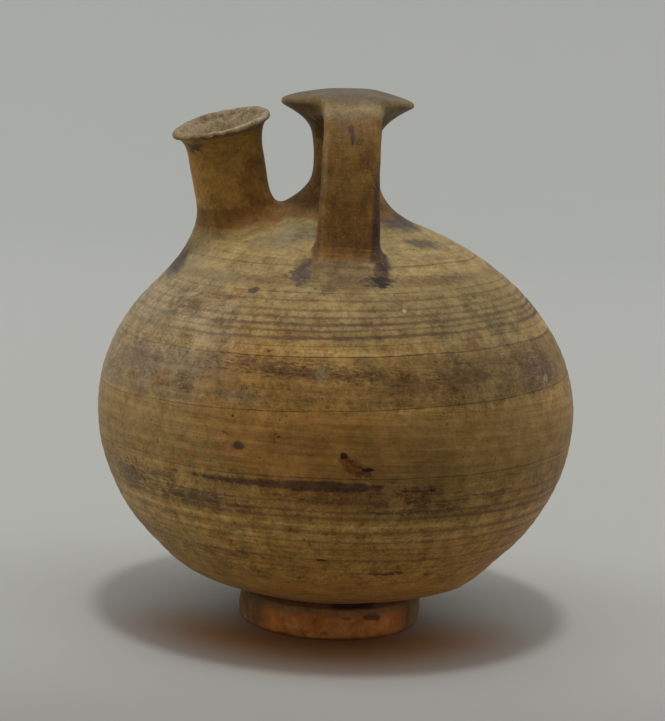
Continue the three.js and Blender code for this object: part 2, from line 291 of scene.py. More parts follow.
HANDLE_FOOT = shoulder_height(HANDLE_ROOT_REACH) - HANDLE_ROOT_DEPTH
HANDLE_CORNERS = (
    (HANDLE_START_REACH, DISC_TOP - HANDLE_START_DEPTH - HANDLE_THICKNESS / 2),
    (HANDLE_TOP_REACH, HANDLE_TOP_HEIGHT),
    (HANDLE_ROOT_REACH, HANDLE_FOOT + HANDLE_BOW),
    (HANDLE_ROOT_REACH, HANDLE_FOOT),
)
HANDLE_LINE = curve(HANDLE_CORNERS, 72)


def handle_size(share):
    """Sideways shift and width of the strap at a share of its length, 0 at the disc."""
    shift = HANDLE_TOP_SHIFT + (HANDLE_ROOT_SHIFT - HANDLE_TOP_SHIFT) * share
    width = HANDLE_WIDTH + (HANDLE_TOP_WIDTH - HANDLE_WIDTH) * (1 - share) ** 4
    return shift, width + (HANDLE_ROOT_WIDTH - width) * share**3


def handle_place(points, side):
    """Share along the strap, sideways and outward distance from its middle, and distance past its end."""
    x, reach, height = points[:, 0] * side, -points[:, 1] * side, points[:, 2]
    near = np.full(len(points), 1e9)
    share, outward, past = np.zeros(len(points)), np.zeros(len(points)), np.zeros(len(points))
    count = len(HANDLE_LINE) - 1
    for i in range(count):
        (y0, z0), (y1, z1) = HANDLE_LINE[i], HANDLE_LINE[i + 1]
        length = math.hypot(y1 - y0, z1 - z0)
        ty, tz = (y1 - y0) / length, (z1 - z0) / length
        raw = (reach - y0) * ty + (height - z0) * tz
        if i == count - 1:
            along = np.maximum(raw, 0)
        else:
            along = np.clip(raw, 0, length)
        gap = np.hypot(reach - y0 - along * ty, height - z0 - along * tz)
        closer = gap < near
        near = np.where(closer, gap, near)
        share = np.where(closer, (i + np.minimum(along / length, 1)) / count, share)
        outward = np.where(closer, (height - z0) * ty - (reach - y0) * tz, outward)
        past = np.where(closer, np.maximum(-raw, 0) if i == 0 else 0, past)
    return share, x, outward, past


def handle_level(points, side):
    share, x, outward, past = handle_place(points, side)
    shift, width = handle_size(share)
    a, b = np.abs((x - shift) / (width / 2)), np.abs(outward / (HANDLE_THICKNESS / 2))
    power = STRAP_ROUNDING
    total = np.maximum(a**power + b**power, 1e-8)
    slope = np.hypot(a ** (power - 1) / (width / 2), b ** (power - 1) / (HANDLE_THICKNESS / 2))
    slope *= total ** (1 / power - 1)
    level = (total ** (1 / power) - 1) / np.maximum(slope, 1e-6)
    return np.maximum(level, past - 1) - layered(points, STRAP_LUMPS)


SPOUT_TURN = Euler((math.radians(SPOUT_LEAN_FRONT), -math.radians(SPOUT_LEAN_OUT), 0), "XYZ")
SPOUT_AXES = np.array(SPOUT_TURN.to_matrix(), float)
SPOUT_FOOT = np.array([-SPOUT_REACH, 0, shoulder_height(SPOUT_REACH)])
SPOUT_LOW = -9
LIP_TURN = (SPOUT_LIP_RADIUS, SPOUT_LENGTH - 1.2)


def spout_outline():
    """The spout's outer side from inside the shoulder up to where the lip starts to turn over."""
    waist = (SPOUT_RADIUS, SPOUT_LENGTH - SPOUT_LIP_FLARE)
    turn = (SPOUT_RADIUS, SPOUT_LENGTH - SPOUT_LIP_EDGE)
    return np.concatenate([[(SPOUT_RADIUS, SPOUT_LOW)], curve([waist, turn, LIP_TURN], 14)])


SPOUT_END = [(SPOUT_LIP_RADIUS, SPOUT_LENGTH), (0, SPOUT_LENGTH)]
SPOUT_BAR = np.concatenate([[(0, SPOUT_LOW)], spout_outline(), SPOUT_END])


def lip_lift(x, height):
    """How far the tilt of the lip raises a point of the spout."""
    share = np.maximum(1 + (height - SPOUT_LENGTH) / SPOUT_LIP_FLARE, 0)
    return x * math.tan(math.radians(SPOUT_LIP_TILT)) * share


def spout_local(points):
    """Points in the spout's own axes, before its lip was tilted."""
    local = (points - SPOUT_FOOT) @ SPOUT_AXES
    height = local[:, 2]
    for _ in range(3):
        height = local[:, 2] - lip_lift(local[:, 0], height)
    return np.stack([local[:, 0], local[:, 1], height], axis=1)


def spout_world(local):
    lifted = local.copy()
    lifted[:, 2] += lip_lift(local[:, 0], local[:, 2])
    return lifted @ SPOUT_AXES.T + SPOUT_FOOT


def spout_level(points):
    local = spout_local(points)
    bar = spun_level(np.hypot(local[:, 0], local[:, 1]), local[:, 2], SPOUT_BAR)
    return bar - layered(points, SPOUT_LUMPS)


def spout_fillet(way):
    """Climb and spread of the clay round the spout. way is 1 towards the neck and -1 away from it."""
    climb = SPOUT_CLIMB - SPOUT_CLIMB_LOSS * np.maximum(way, 0)
    return climb, SPOUT_SPREAD + SPOUT_DRAG * ((1 - way) / 2) ** 3


def join(base, post, climb, spread, amount=1.0):
    """Level of two forms joined by a fillet that climbs the post and spreads over the base."""
    up, off = base / climb, post / spread
    near = np.clip(1 - np.abs(up - off), 0, 1) * amount
    weight = ease(0.5 + (off - up) / 2)
    return (np.minimum(up, off) - near**2 / 4) * (climb * weight + spread * (1 - weight))


def handle_fillet(points, side):
    """At the disc the straps have webs, and at the shoulder the clay drags outwards."""
    low = ease((126 - points[:, 2]) / 6)
    outward = ease(0.5 + (-points[:, 1] * side - HANDLE_ROOT_REACH) / 6)
    climb = WEB_FILLET[0] + (HANDLE_FILLET[0] - WEB_FILLET[0]) * low
    spread = WEB_FILLET[1] + (HANDLE_FILLET[1] + HANDLE_DRAG * outward - WEB_FILLET[1]) * low
    return climb, spread


def spout_way(points):
    local = (points - SPOUT_FOOT) @ SPOUT_AXES
    return local[:, 0] / np.maximum(np.hypot(local[:, 0], local[:, 1]), 1)


def saddle(points):
    """How much clay is left between the false neck and the spout."""
    off = (points - np.array(SADDLE_PLACE)) / np.array(SADDLE_RADII)
    return SADDLE_DEPTH * np.exp(-(off**2).sum(1))


def jar_level(points):
    """Distance from the whole jar's clay above the foot, with the clay worked on at each root."""
    level = join(body_level(points), neck_level(points), *NECK_FILLET) - saddle(points)
    low = ease((20 - turned_level(points)) / 5)
    level = join(level, spout_level(points), *spout_fillet(spout_way(points)), low)
    for side in (1, -1):
        level = join(level, handle_level(points, side), *handle_fillet(points, side))
    return level


def settle(points, level, sink=0.0, rounds=6):
    """Moves points straight onto a form's surface, or that far below it."""
    points = points.copy()
    steps = SLOPE_STEP * np.eye(3)
    for _ in range(rounds):
        value = level(points)
        slope = np.stack([level(points + step) - value for step in steps], axis=1) / SLOPE_STEP
        size = np.maximum((slope**2).sum(axis=1), 0.05)
        move = np.clip((value + sink) / size, -2, 2)
        points -= move[:, None] * slope
    return points


def settled_rings(rings, level, sink=0.0, rounds=6):
    shape = rings.shape
    sink = np.broadcast_to(sink, shape[:2]).reshape(-1)
    return settle(rings.reshape(-1, 3), level, sink, rounds).reshape(shape)


def ring_faces(rows, columns, looped):
    """Quads between neighbouring rings of points, and between the last and the first if looped."""
    row = np.arange(rows if looped else rows - 1)[:, None]
    column = np.arange(columns)[None, :]
    low, high = row * columns, (row + 1) % rows * columns
    after = (column + 1) % columns
    return np.stack([low + column, low + after, high + after, high + column], axis=-1).reshape(-1, 4)


def fan_faces(ring_start, columns, centre):
    column = np.arange(columns)
    after = (column + 1) % columns
    return np.stack([ring_start + after, ring_start + column, np.full(columns, centre)], axis=-1)


def skin(rings, looped=False):
    """Points and faces of a closed skin: rings in a loop, or a tube with its ends closed."""
    rows, columns = rings.shape[:2]
    points = rings.reshape(-1, 3)
    faces = ring_faces(rows, columns, looped).tolist()
    if not looped:
        ends = np.stack([rings[0].mean(axis=0), rings[-1].mean(axis=0)])
        points = np.concatenate([points, ends])
        faces += fan_faces(0, columns, rows * columns).tolist()
        faces += fan_faces((rows - 1) * columns, columns, rows * columns + 1)[:, ::-1].tolist()
    return points, faces


def volume(points, faces):
    total = 0.0
    for face in faces:
        first = points[face[0]]
        for i in range(1, len(face) - 1):
            total += first @ np.cross(points[face[i]], points[face[i + 1]])
    return total


def facing_out(points, faces):
    """The faces, turned over where they would face inwards."""
    sample = faces if len(faces) < 4000 else faces[:: len(faces) // 4000]
    return faces if volume(points - points.mean(axis=0), sample) > 0 else [face[::-1] for face in faces]


def add_mesh(name, points, faces):
    """Adds an object of those points, given in millimetres, and faces."""
    mesh = bpy.data.meshes.new(name)
    mesh.from_pydata((points * MM).tolist(), [], faces)
    thing = bpy.data.objects.new(name, mesh)
    bpy.context.scene.collection.objects.link(thing)
    return thing


def make_piece(name, points, faces, node, material):
    piece = add_mesh(name, points, faces)
    piece.data.shade_smooth()
    piece.data.materials.append(material)
    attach(piece, "root")
    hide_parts(node)
    return piece


def skin_piece(name, rings, node, material, looped=False):
    points, faces = skin(rings, looped)
    make_piece(name, points, facing_out(points, faces), node, material)


def spin(outline, columns, centre_x=0.0):
    """Rings of points from an outline turned about an upright axis."""
    angle = round_angles(columns)
    radius, height = outline[:, 0, None], outline[:, 1, None]
    x = centre_x + radius * np.sin(angle)
    y = -radius * np.cos(angle)
    return np.stack([x, y, np.broadcast_to(height, x.shape)], axis=-1)


def even(outline, step):
    """The outline's points placed again at equal steps along it."""
    lengths = np.concatenate([[0], np.cumsum(np.linalg.norm(np.diff(outline, axis=0), axis=1))])
    at = np.linspace(0, lengths[-1], int(lengths[-1] / step) + 2)
    return np.stack([np.interp(at, lengths, outline[:, i]) for i in (0, 1)], axis=1)


def turned_outline(grow):
    """The body's outline from near the top of its shoulder down to the edge of its base."""
    turn = np.linspace(math.radians(89), 0, 200)
    wide, rise, drop = BELLY_RADIUS + grow, SHOULDER_RISE + grow, UNDERSIDE_DROP + grow
    radius = wide * np.cos(turn) ** (2 / SHOULDER_FULLNESS)
    upper = np.stack([radius, BELLY_HEIGHT + rise * np.sin(turn)], axis=1)
    turn = np.linspace(0, UNDERSIDE_TURN, 120)[1:]
    radius = wide * np.cos(turn) ** (2 / UNDERSIDE_FULLNESS)
    lower = np.stack([radius, BELLY_HEIGHT - drop * np.sin(turn)], axis=1)
    return np.concatenate([upper, lower])


def make_body(material):
    """The outer skin, the wall's inner side and the pouring hole."""
    columns = 640 // COARSE
    outline = even(turned_outline(0), 0.55 * COARSE)
    outer = settled_rings(spin(outline, columns), body_level, rounds=3)
    base = spin(np.array([(radius, FOOT_HEIGHT) for radius in (BASE_RADIUS - 0.6, 10, 2)]), columns)
    points, faces = skin(np.concatenate([outer, base]))
    faces = facing_out(points, faces)
    inner_rings = spin(even(turned_outline(-BODY_WALL), 3), 96)
    inner_rings[:, :, 2] = np.maximum(inner_rings[:, :, 2], FOOT_HEIGHT + BODY_WALL)
    inner_points, inner_faces = skin(inner_rings)
    inner_faces = [[len(points) + i for i in face[::-1]] for face in facing_out(inner_points, inner_faces)]
    body = make_piece("banded_body", np.concatenate([points, inner_points]), faces + inner_faces,
                      "body", material)
    sides, hole = 64, SPOUT_RADIUS - SPOUT_WALL + 0.2
    bore = spin(np.array([(hole, depth) for depth in (-16, 4)]), sides).reshape(-1, 3)
    bore_points, bore_faces = skin(spout_world(bore).reshape(2, sides, 3))
    cut(body, bore_points, facing_out(bore_points, bore_faces))


def cut(piece, points, faces):
    """Takes a closed form out of a piece."""
    cutter = add_mesh("cutter", points, faces)
    modifier = piece.modifiers.new("cut", "BOOLEAN")
    modifier.operation = "DIFFERENCE"
    modifier.solver = "MANIFOLD"
    modifier.object = cutter
    graph = bpy.context.evaluated_depsgraph_get()
    result = bpy.data.meshes.new_from_object(piece.evaluated_get(graph))
    piece.modifiers.clear()
    piece.data = result
    bpy.data.objects.remove(cutter)


def level_ways(ways):
    """Directions made level and one long."""
    flat = ways * (1, 1, 0)
    return flat / np.linalg.norm(flat, axis=1)[:, None]


def make_foot(material):
    low, brim = (FOOT_RADIUS - 0.3, 0.0), (BASE_RADIUS - 0.3, FOOT_HEIGHT)
    swell = (FOOT_RADIUS + 0.5, FOOT_HEIGHT / 3)
    heel = curve([low, (FOOT_RADIUS + 0.3, 0.0), (FOOT_RADIUS + 0.3, 0.6), swell], 12)
    side = curve([swell, (FOOT_RADIUS + 0.5, 6.2), (FOOT_RADIUS - 0.2, 7.4), brim], 14)
    inner = [(RECESS_RADIUS - 1.4, FOOT_HEIGHT), (RECESS_RADIUS - 0.4, 1.0), (RECESS_RADIUS, 0.0)]
    outline = np.concatenate([heel, side[1:], curve(inner, 10), [(RECESS_RADIUS + 2.4, 0.0)]])
    rings = spin(outline, 320, FOOT_SHIFT)
    flat = rings.reshape(-1, 3)
    rise = ease(flat[:, 2] / 2) * ease((FOOT_HEIGHT - flat[:, 2]) / 1.5)
    relief = layered(flat, FOOT_LUMPS) + FOOT_LEAN * flat[:, 0] / FOOT_RADIUS
    rings = (flat + level_ways(flat) * (rise * relief)[:, None]).reshape(rings.shape)
    skin_piece("turned_foot", rings, "foot_ring", material, looped=True)


def under_clay(depth, climb):
    """How far a post is sunk at each depth below the top of the clay round its root."""
    return HIDDEN_SINK * ease((depth - 0.06 * climb) / (0.4 * climb))


def make_neck(material):
    height = np.arange(NECK_TOP + 1.5, NECK_ROOT_TOP, -0.6 * COARSE)
    side = NECK_OUTLINE[2:20]
    outline = np.stack([np.interp(height, side[:, 1], side[:, 0]), height], axis=1)
    rings = spin(outline, 144 // COARSE, NECK_SHIFT)
    ground = shoulder_height(NECK_RADIUS) + NECK_FILLET[0]
    sink = under_clay(ground - height, NECK_FILLET[0]) + 0.4 * ease((height - NECK_TOP - 0.2) / 1.2)
    rings = settled_rings(rings, jar_level, sink[:, None])
    skin_piece("stem", rings, "false_neck", material)


def make_disc(material):
    rings = spin(even(disc_side(), 0.5 * COARSE)[:-2], 240 // COARSE, NECK_SHIFT - 0.15)
    flat = rings.reshape(-1, 3)
    inside = -np.minimum(handle_level(flat, 1), handle_level(flat, -1))
    sink = 0.35 * ease((inside - 0.2) / 0.8) + np.maximum(inside - 1, 0) * 0.5
    rings = settle(flat, jar_level, sink).reshape(rings.shape)
    skin_piece("disc", rings, "false_neck_disc", material)


def boxed(wave):
    """A sine wave with fuller sides, which makes a round ring nearly a box."""
    return np.sign(wave) * np.sqrt(np.abs(wave))


def strap_ring(share, columns, side):
    """One ring of points round the strap."""
    count = len(HANDLE_LINE) - 1
    at = min(share * count, count - 1e-6)
    i = int(at)
    centre = HANDLE_LINE[i] + (HANDLE_LINE[i + 1] - HANDLE_LINE[i]) * (at - i)
    before, after = HANDLE_LINE[max(i - 1, 0)], HANDLE_LINE[min(i + 2, count)]
    way = (after - before) / np.linalg.norm(after - before)
    shift, width = handle_size(share)
    angle = round_angles(columns)
    across = boxed(np.cos(angle)) * width / 2
    through = boxed(np.sin(angle)) * HANDLE_THICKNESS / 2
    reach = centre[0] - through * way[1]
    height = centre[1] + through * way[0]
    return np.stack([(shift + across) * side, -reach * side, height], axis=1)


def make_handle(name, node, side, material):
    shares = np.linspace(0.02, 0.97, 150 // COARSE)
    rings = np.stack([strap_ring(share, 144 // COARSE, side) for share in shares])
    flat = rings.reshape(-1, 3)
    disc_depth = np.maximum(-neck_level(flat) - 0.8, 0)
    ground = shoulder_height(np.hypot(flat[:, 0], flat[:, 1])) + HANDLE_FILLET[0]
    low = under_clay(ground - flat[:, 2], HANDLE_FILLET[0])
    rings = settle(flat, jar_level, np.maximum(disc_depth, low)).reshape(rings.shape)
    skin_piece(name, rings, node, material)


def drop_on_shoulder(start, down):
    """How far each start is from the shoulder along the post."""
    points, way = start.copy(), np.broadcast_to(down, start.shape)
    gone = np.zeros(len(start))
    for _ in range(12):
        step = turned_level(points)
        points = points + step[:, None] * way
        gone += step
    return gone


def make_luting(name, node, material, side_start, out, down, climb, spread, yields=None):
    """A ring of clay worked on round the root of a post.

    side_start is on the post, level with the shoulder."""
    flat_out = level_ways(out)
    start = side_start - climb[:, None] * down
    landing = side_start + flat_out * spread[:, None]
    landing[:, 2] = shoulder_height(np.hypot(landing[:, 0], landing[:, 1]))
    shares = np.concatenate([np.linspace(0, 0.9, 34 // COARSE), np.linspace(0.915, 1.05, 10)])
    rings = np.stack([
        (1 - share) ** 2 * start + 2 * share * (1 - share) * side_start + share * share * landing
        for share in shares])
    sink = np.broadcast_to((LUTING_SINK * ease((shares - 0.965) / 0.07))[:, None], rings.shape[:2]).copy()
    gone = np.linalg.norm(rings - start, axis=2)
    sink += SEAM_SINK * (1 - ease(gone / (0.25 * climb)))
    if yields is not None:
        sink += yields(rings.reshape(-1, 3)).reshape(sink.shape)
    rings = settled_rings(rings, jar_level, sink)
    hidden_low = landing - (0, 0, 2.5)
    hidden_post = side_start - 2 * flat_out
    hidden_top = start - 1.5 * flat_out
    rings = np.concatenate([rings, [hidden_low, hidden_post, hidden_top]])
    skin_piece(name, rings, node, material, looped=True)


def make_neck_luting(material):
    columns = 200 // COARSE
    angle = round_angles(columns)
    out = np.stack([np.sin(angle), -np.cos(angle), 0 * angle], axis=1)
    root = out * NECK_RADIUS + (NECK_SHIFT, 0, shoulder_height(NECK_RADIUS))
    climb, spread = (np.full(columns, size) for size in NECK_FILLET)

    def under_spout_clay(points):
        share = spout_level(points) / spout_fillet(spout_way(points))[1]
        return 0.35 * ease((0.9 - share) / 0.12) * (points[:, 2] < 118)

    make_luting("stem_luting", "neck_luting", material, root, out,
                np.array([0, 0, -1.0]), climb, spread, under_spout_clay)


def make_spout_luting(material):
    columns = 220 // COARSE
    angle = round_angles(columns)
    local = np.stack([np.cos(angle), np.sin(angle), 0 * angle], axis=1)
    down = -SPOUT_AXES[:, 2]
    side = local @ SPOUT_AXES.T * SPOUT_RADIUS + SPOUT_FOOT
    root = side + drop_on_shoulder(side, down)[:, None] * down
    climb, spread = spout_fillet(local[:, 0])
    make_luting("spout_clay", "spout_luting", material, root, local @ SPOUT_AXES.T,
                down, climb, spread)


def make_handle_luting(name, node, side, material):
    columns = 180 // COARSE
    ring = strap_ring(0.999, columns, side)
    ring[:, 2] = shoulder_height(np.hypot(ring[:, 0], ring[:, 1]))
    angle = round_angles(columns)
    out = np.stack([np.cos(angle) * side, -np.sin(angle) * side, 0 * angle], axis=1)
    climb = np.full(columns, HANDLE_FILLET[0])
    spread = HANDLE_FILLET[1] + HANDLE_DRAG * np.maximum(np.sin(angle), 0)
    make_luting(name, node, material, ring, out, np.array([0, 0, -1.0]), climb, spread)


def lip_and_bore():
    """The spout's outline from the start of its lip over the crest, down the bore and back to its side."""
    throat = SPOUT_RADIUS - SPOUT_WALL
    crest = (SPOUT_LIP_RADIUS - 0.95, SPOUT_LENGTH)
    brink = (SPOUT_LIP_RADIUS - 2.6, SPOUT_LENGTH - 1.3)
    outer_lip = curve([LIP_TURN, (SPOUT_LIP_RADIUS + 0.1, SPOUT_LENGTH - 0.1), crest], 6)[1:]
    inner_lip = curve([crest, (SPOUT_LIP_RADIUS - 1.9, SPOUT_LENGTH - 0.1), brink], 6)[1:]
    funnel = curve([brink, (throat + 0.3, SPOUT_LENGTH - 4.4), (throat, SPOUT_LENGTH - 11)], 14)[1:]
    bore = [(throat, z) for z in np.linspace(SPOUT_LENGTH - 12, -7.5, 20)]
    hidden = [(throat + 1.2, -7.5), (throat + 1.4, 2.0), (SPOUT_RADIUS - 1, 3.0)]
    return np.concatenate([outer_lip, inner_lip, funnel, bore, hidden])


def worn_lip(rings, local):
    """The lip and bore made uneven like the spout's side, with the lip worn down in places."""
    rim = rings.reshape(-1, 3)
    on_lip = ease((local[:, :, 2].reshape(-1) - SPOUT_LENGTH + 2.5) / 2)
    worn = on_lip * (layered(rim, LIP_WEAR) - LIP_LOSS)
    way = (local * (1, 1, 0)).reshape(-1, 3) @ SPOUT_AXES.T
    way = way / np.linalg.norm(way, axis=1)[:, None]
    rim = rim + worn[:, None] * SPOUT_AXES[:, 2] + way * layered(rim, SPOUT_LUMPS)[:, None]
    return rim.reshape(rings.shape)


def make_spout(material):
    columns = 200 // COARSE
    angle = round_angles(columns)
    outer = even(spout_outline(), 0.5 * COARSE)
    outer = outer[outer[:, 1] > 3]
    outline = np.concatenate([outer, lip_and_bore()])
    radius = outline[:, 0, None]
    height = np.broadcast_to(outline[:, 1, None], (len(outline), columns))
    local = np.stack([radius * np.cos(angle), radius * np.sin(angle), height], axis=-1)
    rings = spout_world(local.reshape(-1, 3)).reshape(local.shape)
    count = len(outer)
    side = local[0] * (1, 1, 0) @ SPOUT_AXES.T + SPOUT_FOOT
    clay_top = spout_fillet(np.cos(angle))[0] - drop_on_shoulder(side, -SPOUT_AXES[:, 2])
    sink = under_clay(clay_top - outer[:, 1, None], SPOUT_CLIMB)
    rings[:count] = settled_rings(rings[:count], jar_level, sink)
    rings[count:] = worn_lip(rings[count:], local[count:])
    skin_piece("pouring_spout", rings, "spout", material, looped=True)


class Value:
    """A number in a material, so that its maths reads as maths."""

    def __init__(self, paint, socket):
        self.paint, self.socket = paint, socket

    def __add__(self, other):
        return self.paint.maths("ADD", self, other)

    def __sub__(self, other):
        return self.paint.maths("SUBTRACT", self, other)

    def __rsub__(self, other):
        return self.paint.maths("SUBTRACT", other, self)

    def __mul__(self, other):
        return self.paint.maths("MULTIPLY", self, other)

    __radd__ = __add__
    __rmul__ = __mul__

    def __neg__(self):
        return self * -1

    def __abs__(self):
        return self.paint.maths("ABSOLUTE", self)

    def larger(self, other):
        return self.paint.maths("MAXIMUM", self, other)

    def step(self, low, high):
        """Goes smoothly from 0 to 1 as this number goes from low to high."""
        node = self.paint.tree.nodes.new("ShaderNodeMapRange")
        node.interpolation_type = "SMOOTHSTEP"
        for term, name in ((self, "Value"), (low, "From Min"), (high, "From Max")):
            self.paint.link(term, node.inputs[name])
        return Value(self.paint, node.outputs["Result"])

    def between(self, low, high, soft):
        """1 from low to high and 0 beyond them, with both edges that soft."""
        return self.step(low - soft, low + soft) * (1 - self.step(high - soft, high + soft))


class Paint:
    """A material being painted. Its nodes read the place on the jar, in millimetres."""

    def __init__(self, name):
        self.material = bpy.data.materials.new(name)
        self.material.use_nodes = True
        self.tree = self.material.node_tree
        self.shader = self.tree.nodes["Principled BSDF"]
        self.colour = None
        coordinates = self.tree.nodes.new("ShaderNodeTexCoord")
        self.place = self.vector("SCALE", coordinates.outputs["Object"], scale=1 / MM)
        parts = self.tree.nodes.new("ShaderNodeSeparateXYZ")
        self.tree.links.new(self.place, parts.inputs[0])
        self.x, self.y, self.z = (Value(self, socket) for socket in parts.outputs)
        self.angle = self.maths("DEGREES", self.maths("ARCTAN2", self.x, -self.y))

    def link(self, value, socket):
        """Sets a node's input to a number or colour, or links it to another node's output."""
        if isinstance(value, Value):
            value = value.socket
        if isinstance(value, bpy.types.NodeSocket):
            self.tree.links.new(value, socket)
        elif socket.type == "RGBA":
            socket.default_value = (*value, 1)
        else:
            socket.default_value = value

    def maths(self, operation, *terms):
        node = self.tree.nodes.new("ShaderNodeMath")
        node.operation = operation
        for term, socket in zip(terms, node.inputs):
            self.link(term, socket)
        return Value(self, node.outputs[0])

    def vector(self, operation, *terms, scale=None):
        node = self.tree.nodes.new("ShaderNodeVectorMath")
        node.operation = operation
        for term, socket in zip(terms, node.inputs):
            self.link(term, socket)
        if scale is not None:
            self.link(scale, node.inputs["Scale"])
        return next(output for output in node.outputs if output.enabled)

    def noise(self, size, detail=2.0, roughness=0.5, seed=0, lean=0.0):
        """Cloudy noise about 0.5, with clouds of that size, or of three sizes along X, Y and Z.

        With a lean, the clouds of one height are moved sideways from those of the next."""
        sizes = size if isinstance(size, tuple) else (size,) * 3
        scaled = self.vector("MULTIPLY", self.place, tuple(1 / part for part in sizes))
        moved = self.vector("ADD", scaled, (seed * 17.3, seed * 5.1, seed * 9.7))
        if lean:
            moved = self.vector("ADD", moved, self.vector("MULTIPLY", self.z, (lean, lean, 0)))
        node = self.tree.nodes.new("ShaderNodeTexNoise")
        self.link(moved, node.inputs["Vector"])
        for name, value in (("Scale", 1.0), ("Detail", detail), ("Roughness", roughness)):
            node.inputs[name].default_value = value
        return Value(self, node.outputs[0])

    def spot(self, centre, radii, soft, ragged, rough=2.6):
        """A rounded patch with a ragged edge: 1 inside it and 0 outside."""
        off = self.vector("SUBTRACT", self.place, centre)
        share = self.vector("LENGTH", self.vector("DIVIDE", off, radii))
        reach = Value(self, share) + (ragged - 0.5) * rough
        return 1 - reach.step(1 - soft, 1 + soft)

    def mix(self, amount, first, second):
        node = self.tree.nodes.new("ShaderNodeMix")
        node.data_type = "RGBA"
        self.link(amount, node.inputs["Factor"])
        self.link(first, [i for i in node.inputs if i.name == "A" and i.type == "RGBA"][0])
        self.link(second, [i for i in node.inputs if i.name == "B" and i.type == "RGBA"][0])
        return [o for o in node.outputs if o.type == "RGBA"][0]

    def lay(self, amount, colour):
        """Lays a colour over what is painted so far."""
        self.colour = self.mix(amount, self.colour, colour)

    def shade(self, tone):
        """Makes what is painted so far darker or lighter."""
        self.colour = self.vector("SCALE", self.colour, scale=tone)

    def finish(self, roughness, relief, height):
        """Links the shader. relief is the fine surface, and height what its whole range stands for."""
        self.link(self.colour, self.shader.inputs["Base Color"])
        self.link(roughness, self.shader.inputs["Roughness"])
        self.shader.inputs["Specular IOR Level"].default_value = 0.08
        self.shader.inputs["Sheen Weight"].default_value = 0.05
        self.shader.inputs["Sheen Roughness"].default_value = 0.45
        bump = self.tree.nodes.new("ShaderNodeBump")
        bump.inputs["Distance"].default_value = height * MM
        self.link(relief, bump.inputs["Height"])
        self.link(bump.outputs["Normal"], self.shader.inputs["Normal"])
        return self.material


# Colours of the bare clay, with a painted shade for the right of the belly, and lower colours that are
# partly painted light
OCHRE_CLAY = (0.275, 0.13, 0.029)
OLIVE_CLAY = (0.278, 0.172, 0.054)
PAINTED_SHADE_RIGHT = (0.18, 0.104, 0.028)
LOWER_LEFT_CLAY_AND_PAINTED_LIGHT = (0.405, 0.245, 0.065)
LOWER_CLAY_AND_PAINTED_LIGHT = (0.475, 0.226, 0.043)
BARE_CLAY = (0.37, 0.25, 0.08)
CREAM_SLIP = (0.228, 0.168, 0.068)
RAW_ORANGE = (0.35, 0.159, 0.056)
PALE_CHIP = (0.269, 0.2, 0.106)

# Colours of paint and stains, used all over
UMBER_PAINT = (0.095, 0.047, 0.017)
LINE_PAINT = (0.058, 0.031, 0.019)
LINE_WASH = (0.141, 0.078, 0.028)
GREY_PAINT = (0.059, 0.041, 0.034)
PURPLE_PAINT = (0.08, 0.035, 0.022)
BLACK_PAINT = (0.022, 0.014, 0.011)
BROWN_SPECK = (0.056, 0.031, 0.019)
# Dust near the left edge, paler and greyer with painted sheen
GREY_DUST_AND_SHEEN = (0.225, 0.19, 0.125)
SALLOW_DUST_AND_SHEEN = (0.225, 0.165, 0.07)

# Washes round the body
BAND_WASH = (0.215, 0.118, 0.029)
# The wash on the left is greyer, partly painted sheen
BAND_WASH_LEFT_AND_SHEEN = (0.18, 0.13, 0.085)
BAND_WASH_RIGHT = (0.16, 0.093, 0.026)
SHOULDER_WASH = (0.15, 0.096, 0.033)

# Washes low on the body: lowest and highest edge, their softness, thin and added strength, and colour
LOW_WASHES = (
    (39.2, 49.5, 0.5, 0.1, 0.26, (0.2, 0.104, 0.03)),
    (19.0, 34.5, 1.5, 0.06, 0.38, (0.23, 0.118, 0.03)),
)

# Paint on the neck and straps
ROOT_PAINT = (0.138, 0.066, 0.016)
STRAP_PAINT_LOW = (0.165, 0.075, 0.015)
STRAP_PAINT = (0.143, 0.073, 0.015)
NECK_PAINT = (0.285, 0.138, 0.038)
STRAP_STREAK = (0.094, 0.043, 0.014)
STRAP_STAIN = (0.078, 0.034, 0.011)
STRAP_DARK_EDGE = (0.037, 0.022, 0.019)
STRAP_LEFT_EDGE = (0.075, 0.037, 0.019)
# Painted highlight along the near strap's ridge
STRAP_RIDGE_HIGHLIGHT = (0.212, 0.131, 0.053)
BLOT = (0.044, 0.025, 0.022)

# The blot high on the near strap: places and radii of its two parts
BLOT_PARTS = (((0.7, -28, 131.2), (0.8, 8, 1.1)), ((1.2, -28, 129.4), (0.5, 8, 1.8)))

# Paint on the disc
DISC_UNDERSIDE = (0.104, 0.065, 0.015)
# Painted highlight on the near strap's bend under the disc
STRAP_BEND_HIGHLIGHT = (0.166, 0.122, 0.061)
DISC_CROWN = (0.079, 0.06, 0.039)
DISC_RIM = (0.14, 0.096, 0.04)
DISC_RIM_CHIP = (0.053, 0.037, 0.028)

# Paint on the spout
SPOUT_ROOT = (0.187, 0.106, 0.028)
SPOUT_WASH = (0.312, 0.162, 0.034)
SPOUT_RING = (0.138, 0.062, 0.017)
SPOUT_PATCH = (0.195, 0.086, 0.024)
SPOUT_RIM = (0.165, 0.12, 0.055)
SPOUT_THROAT = (0.231, 0.174, 0.097)
SPOUT_SPECK = (0.075, 0.05, 0.031)

# Clay and stains on the foot
FOOT_RED = (0.56, 0.185, 0.04)
FOOT_ORANGE = (0.56, 0.24, 0.07)
FOOT_UPPER = (0.23, 0.138, 0.062)
FOOT_SIDES = (0.105, 0.064, 0.024)
FOOT_LINE = (0.1, 0.04, 0.026)
FOOT_STAIN = (0.09, 0.045, 0.028)
FOOT_HEEL = (0.12, 0.05, 0.022)

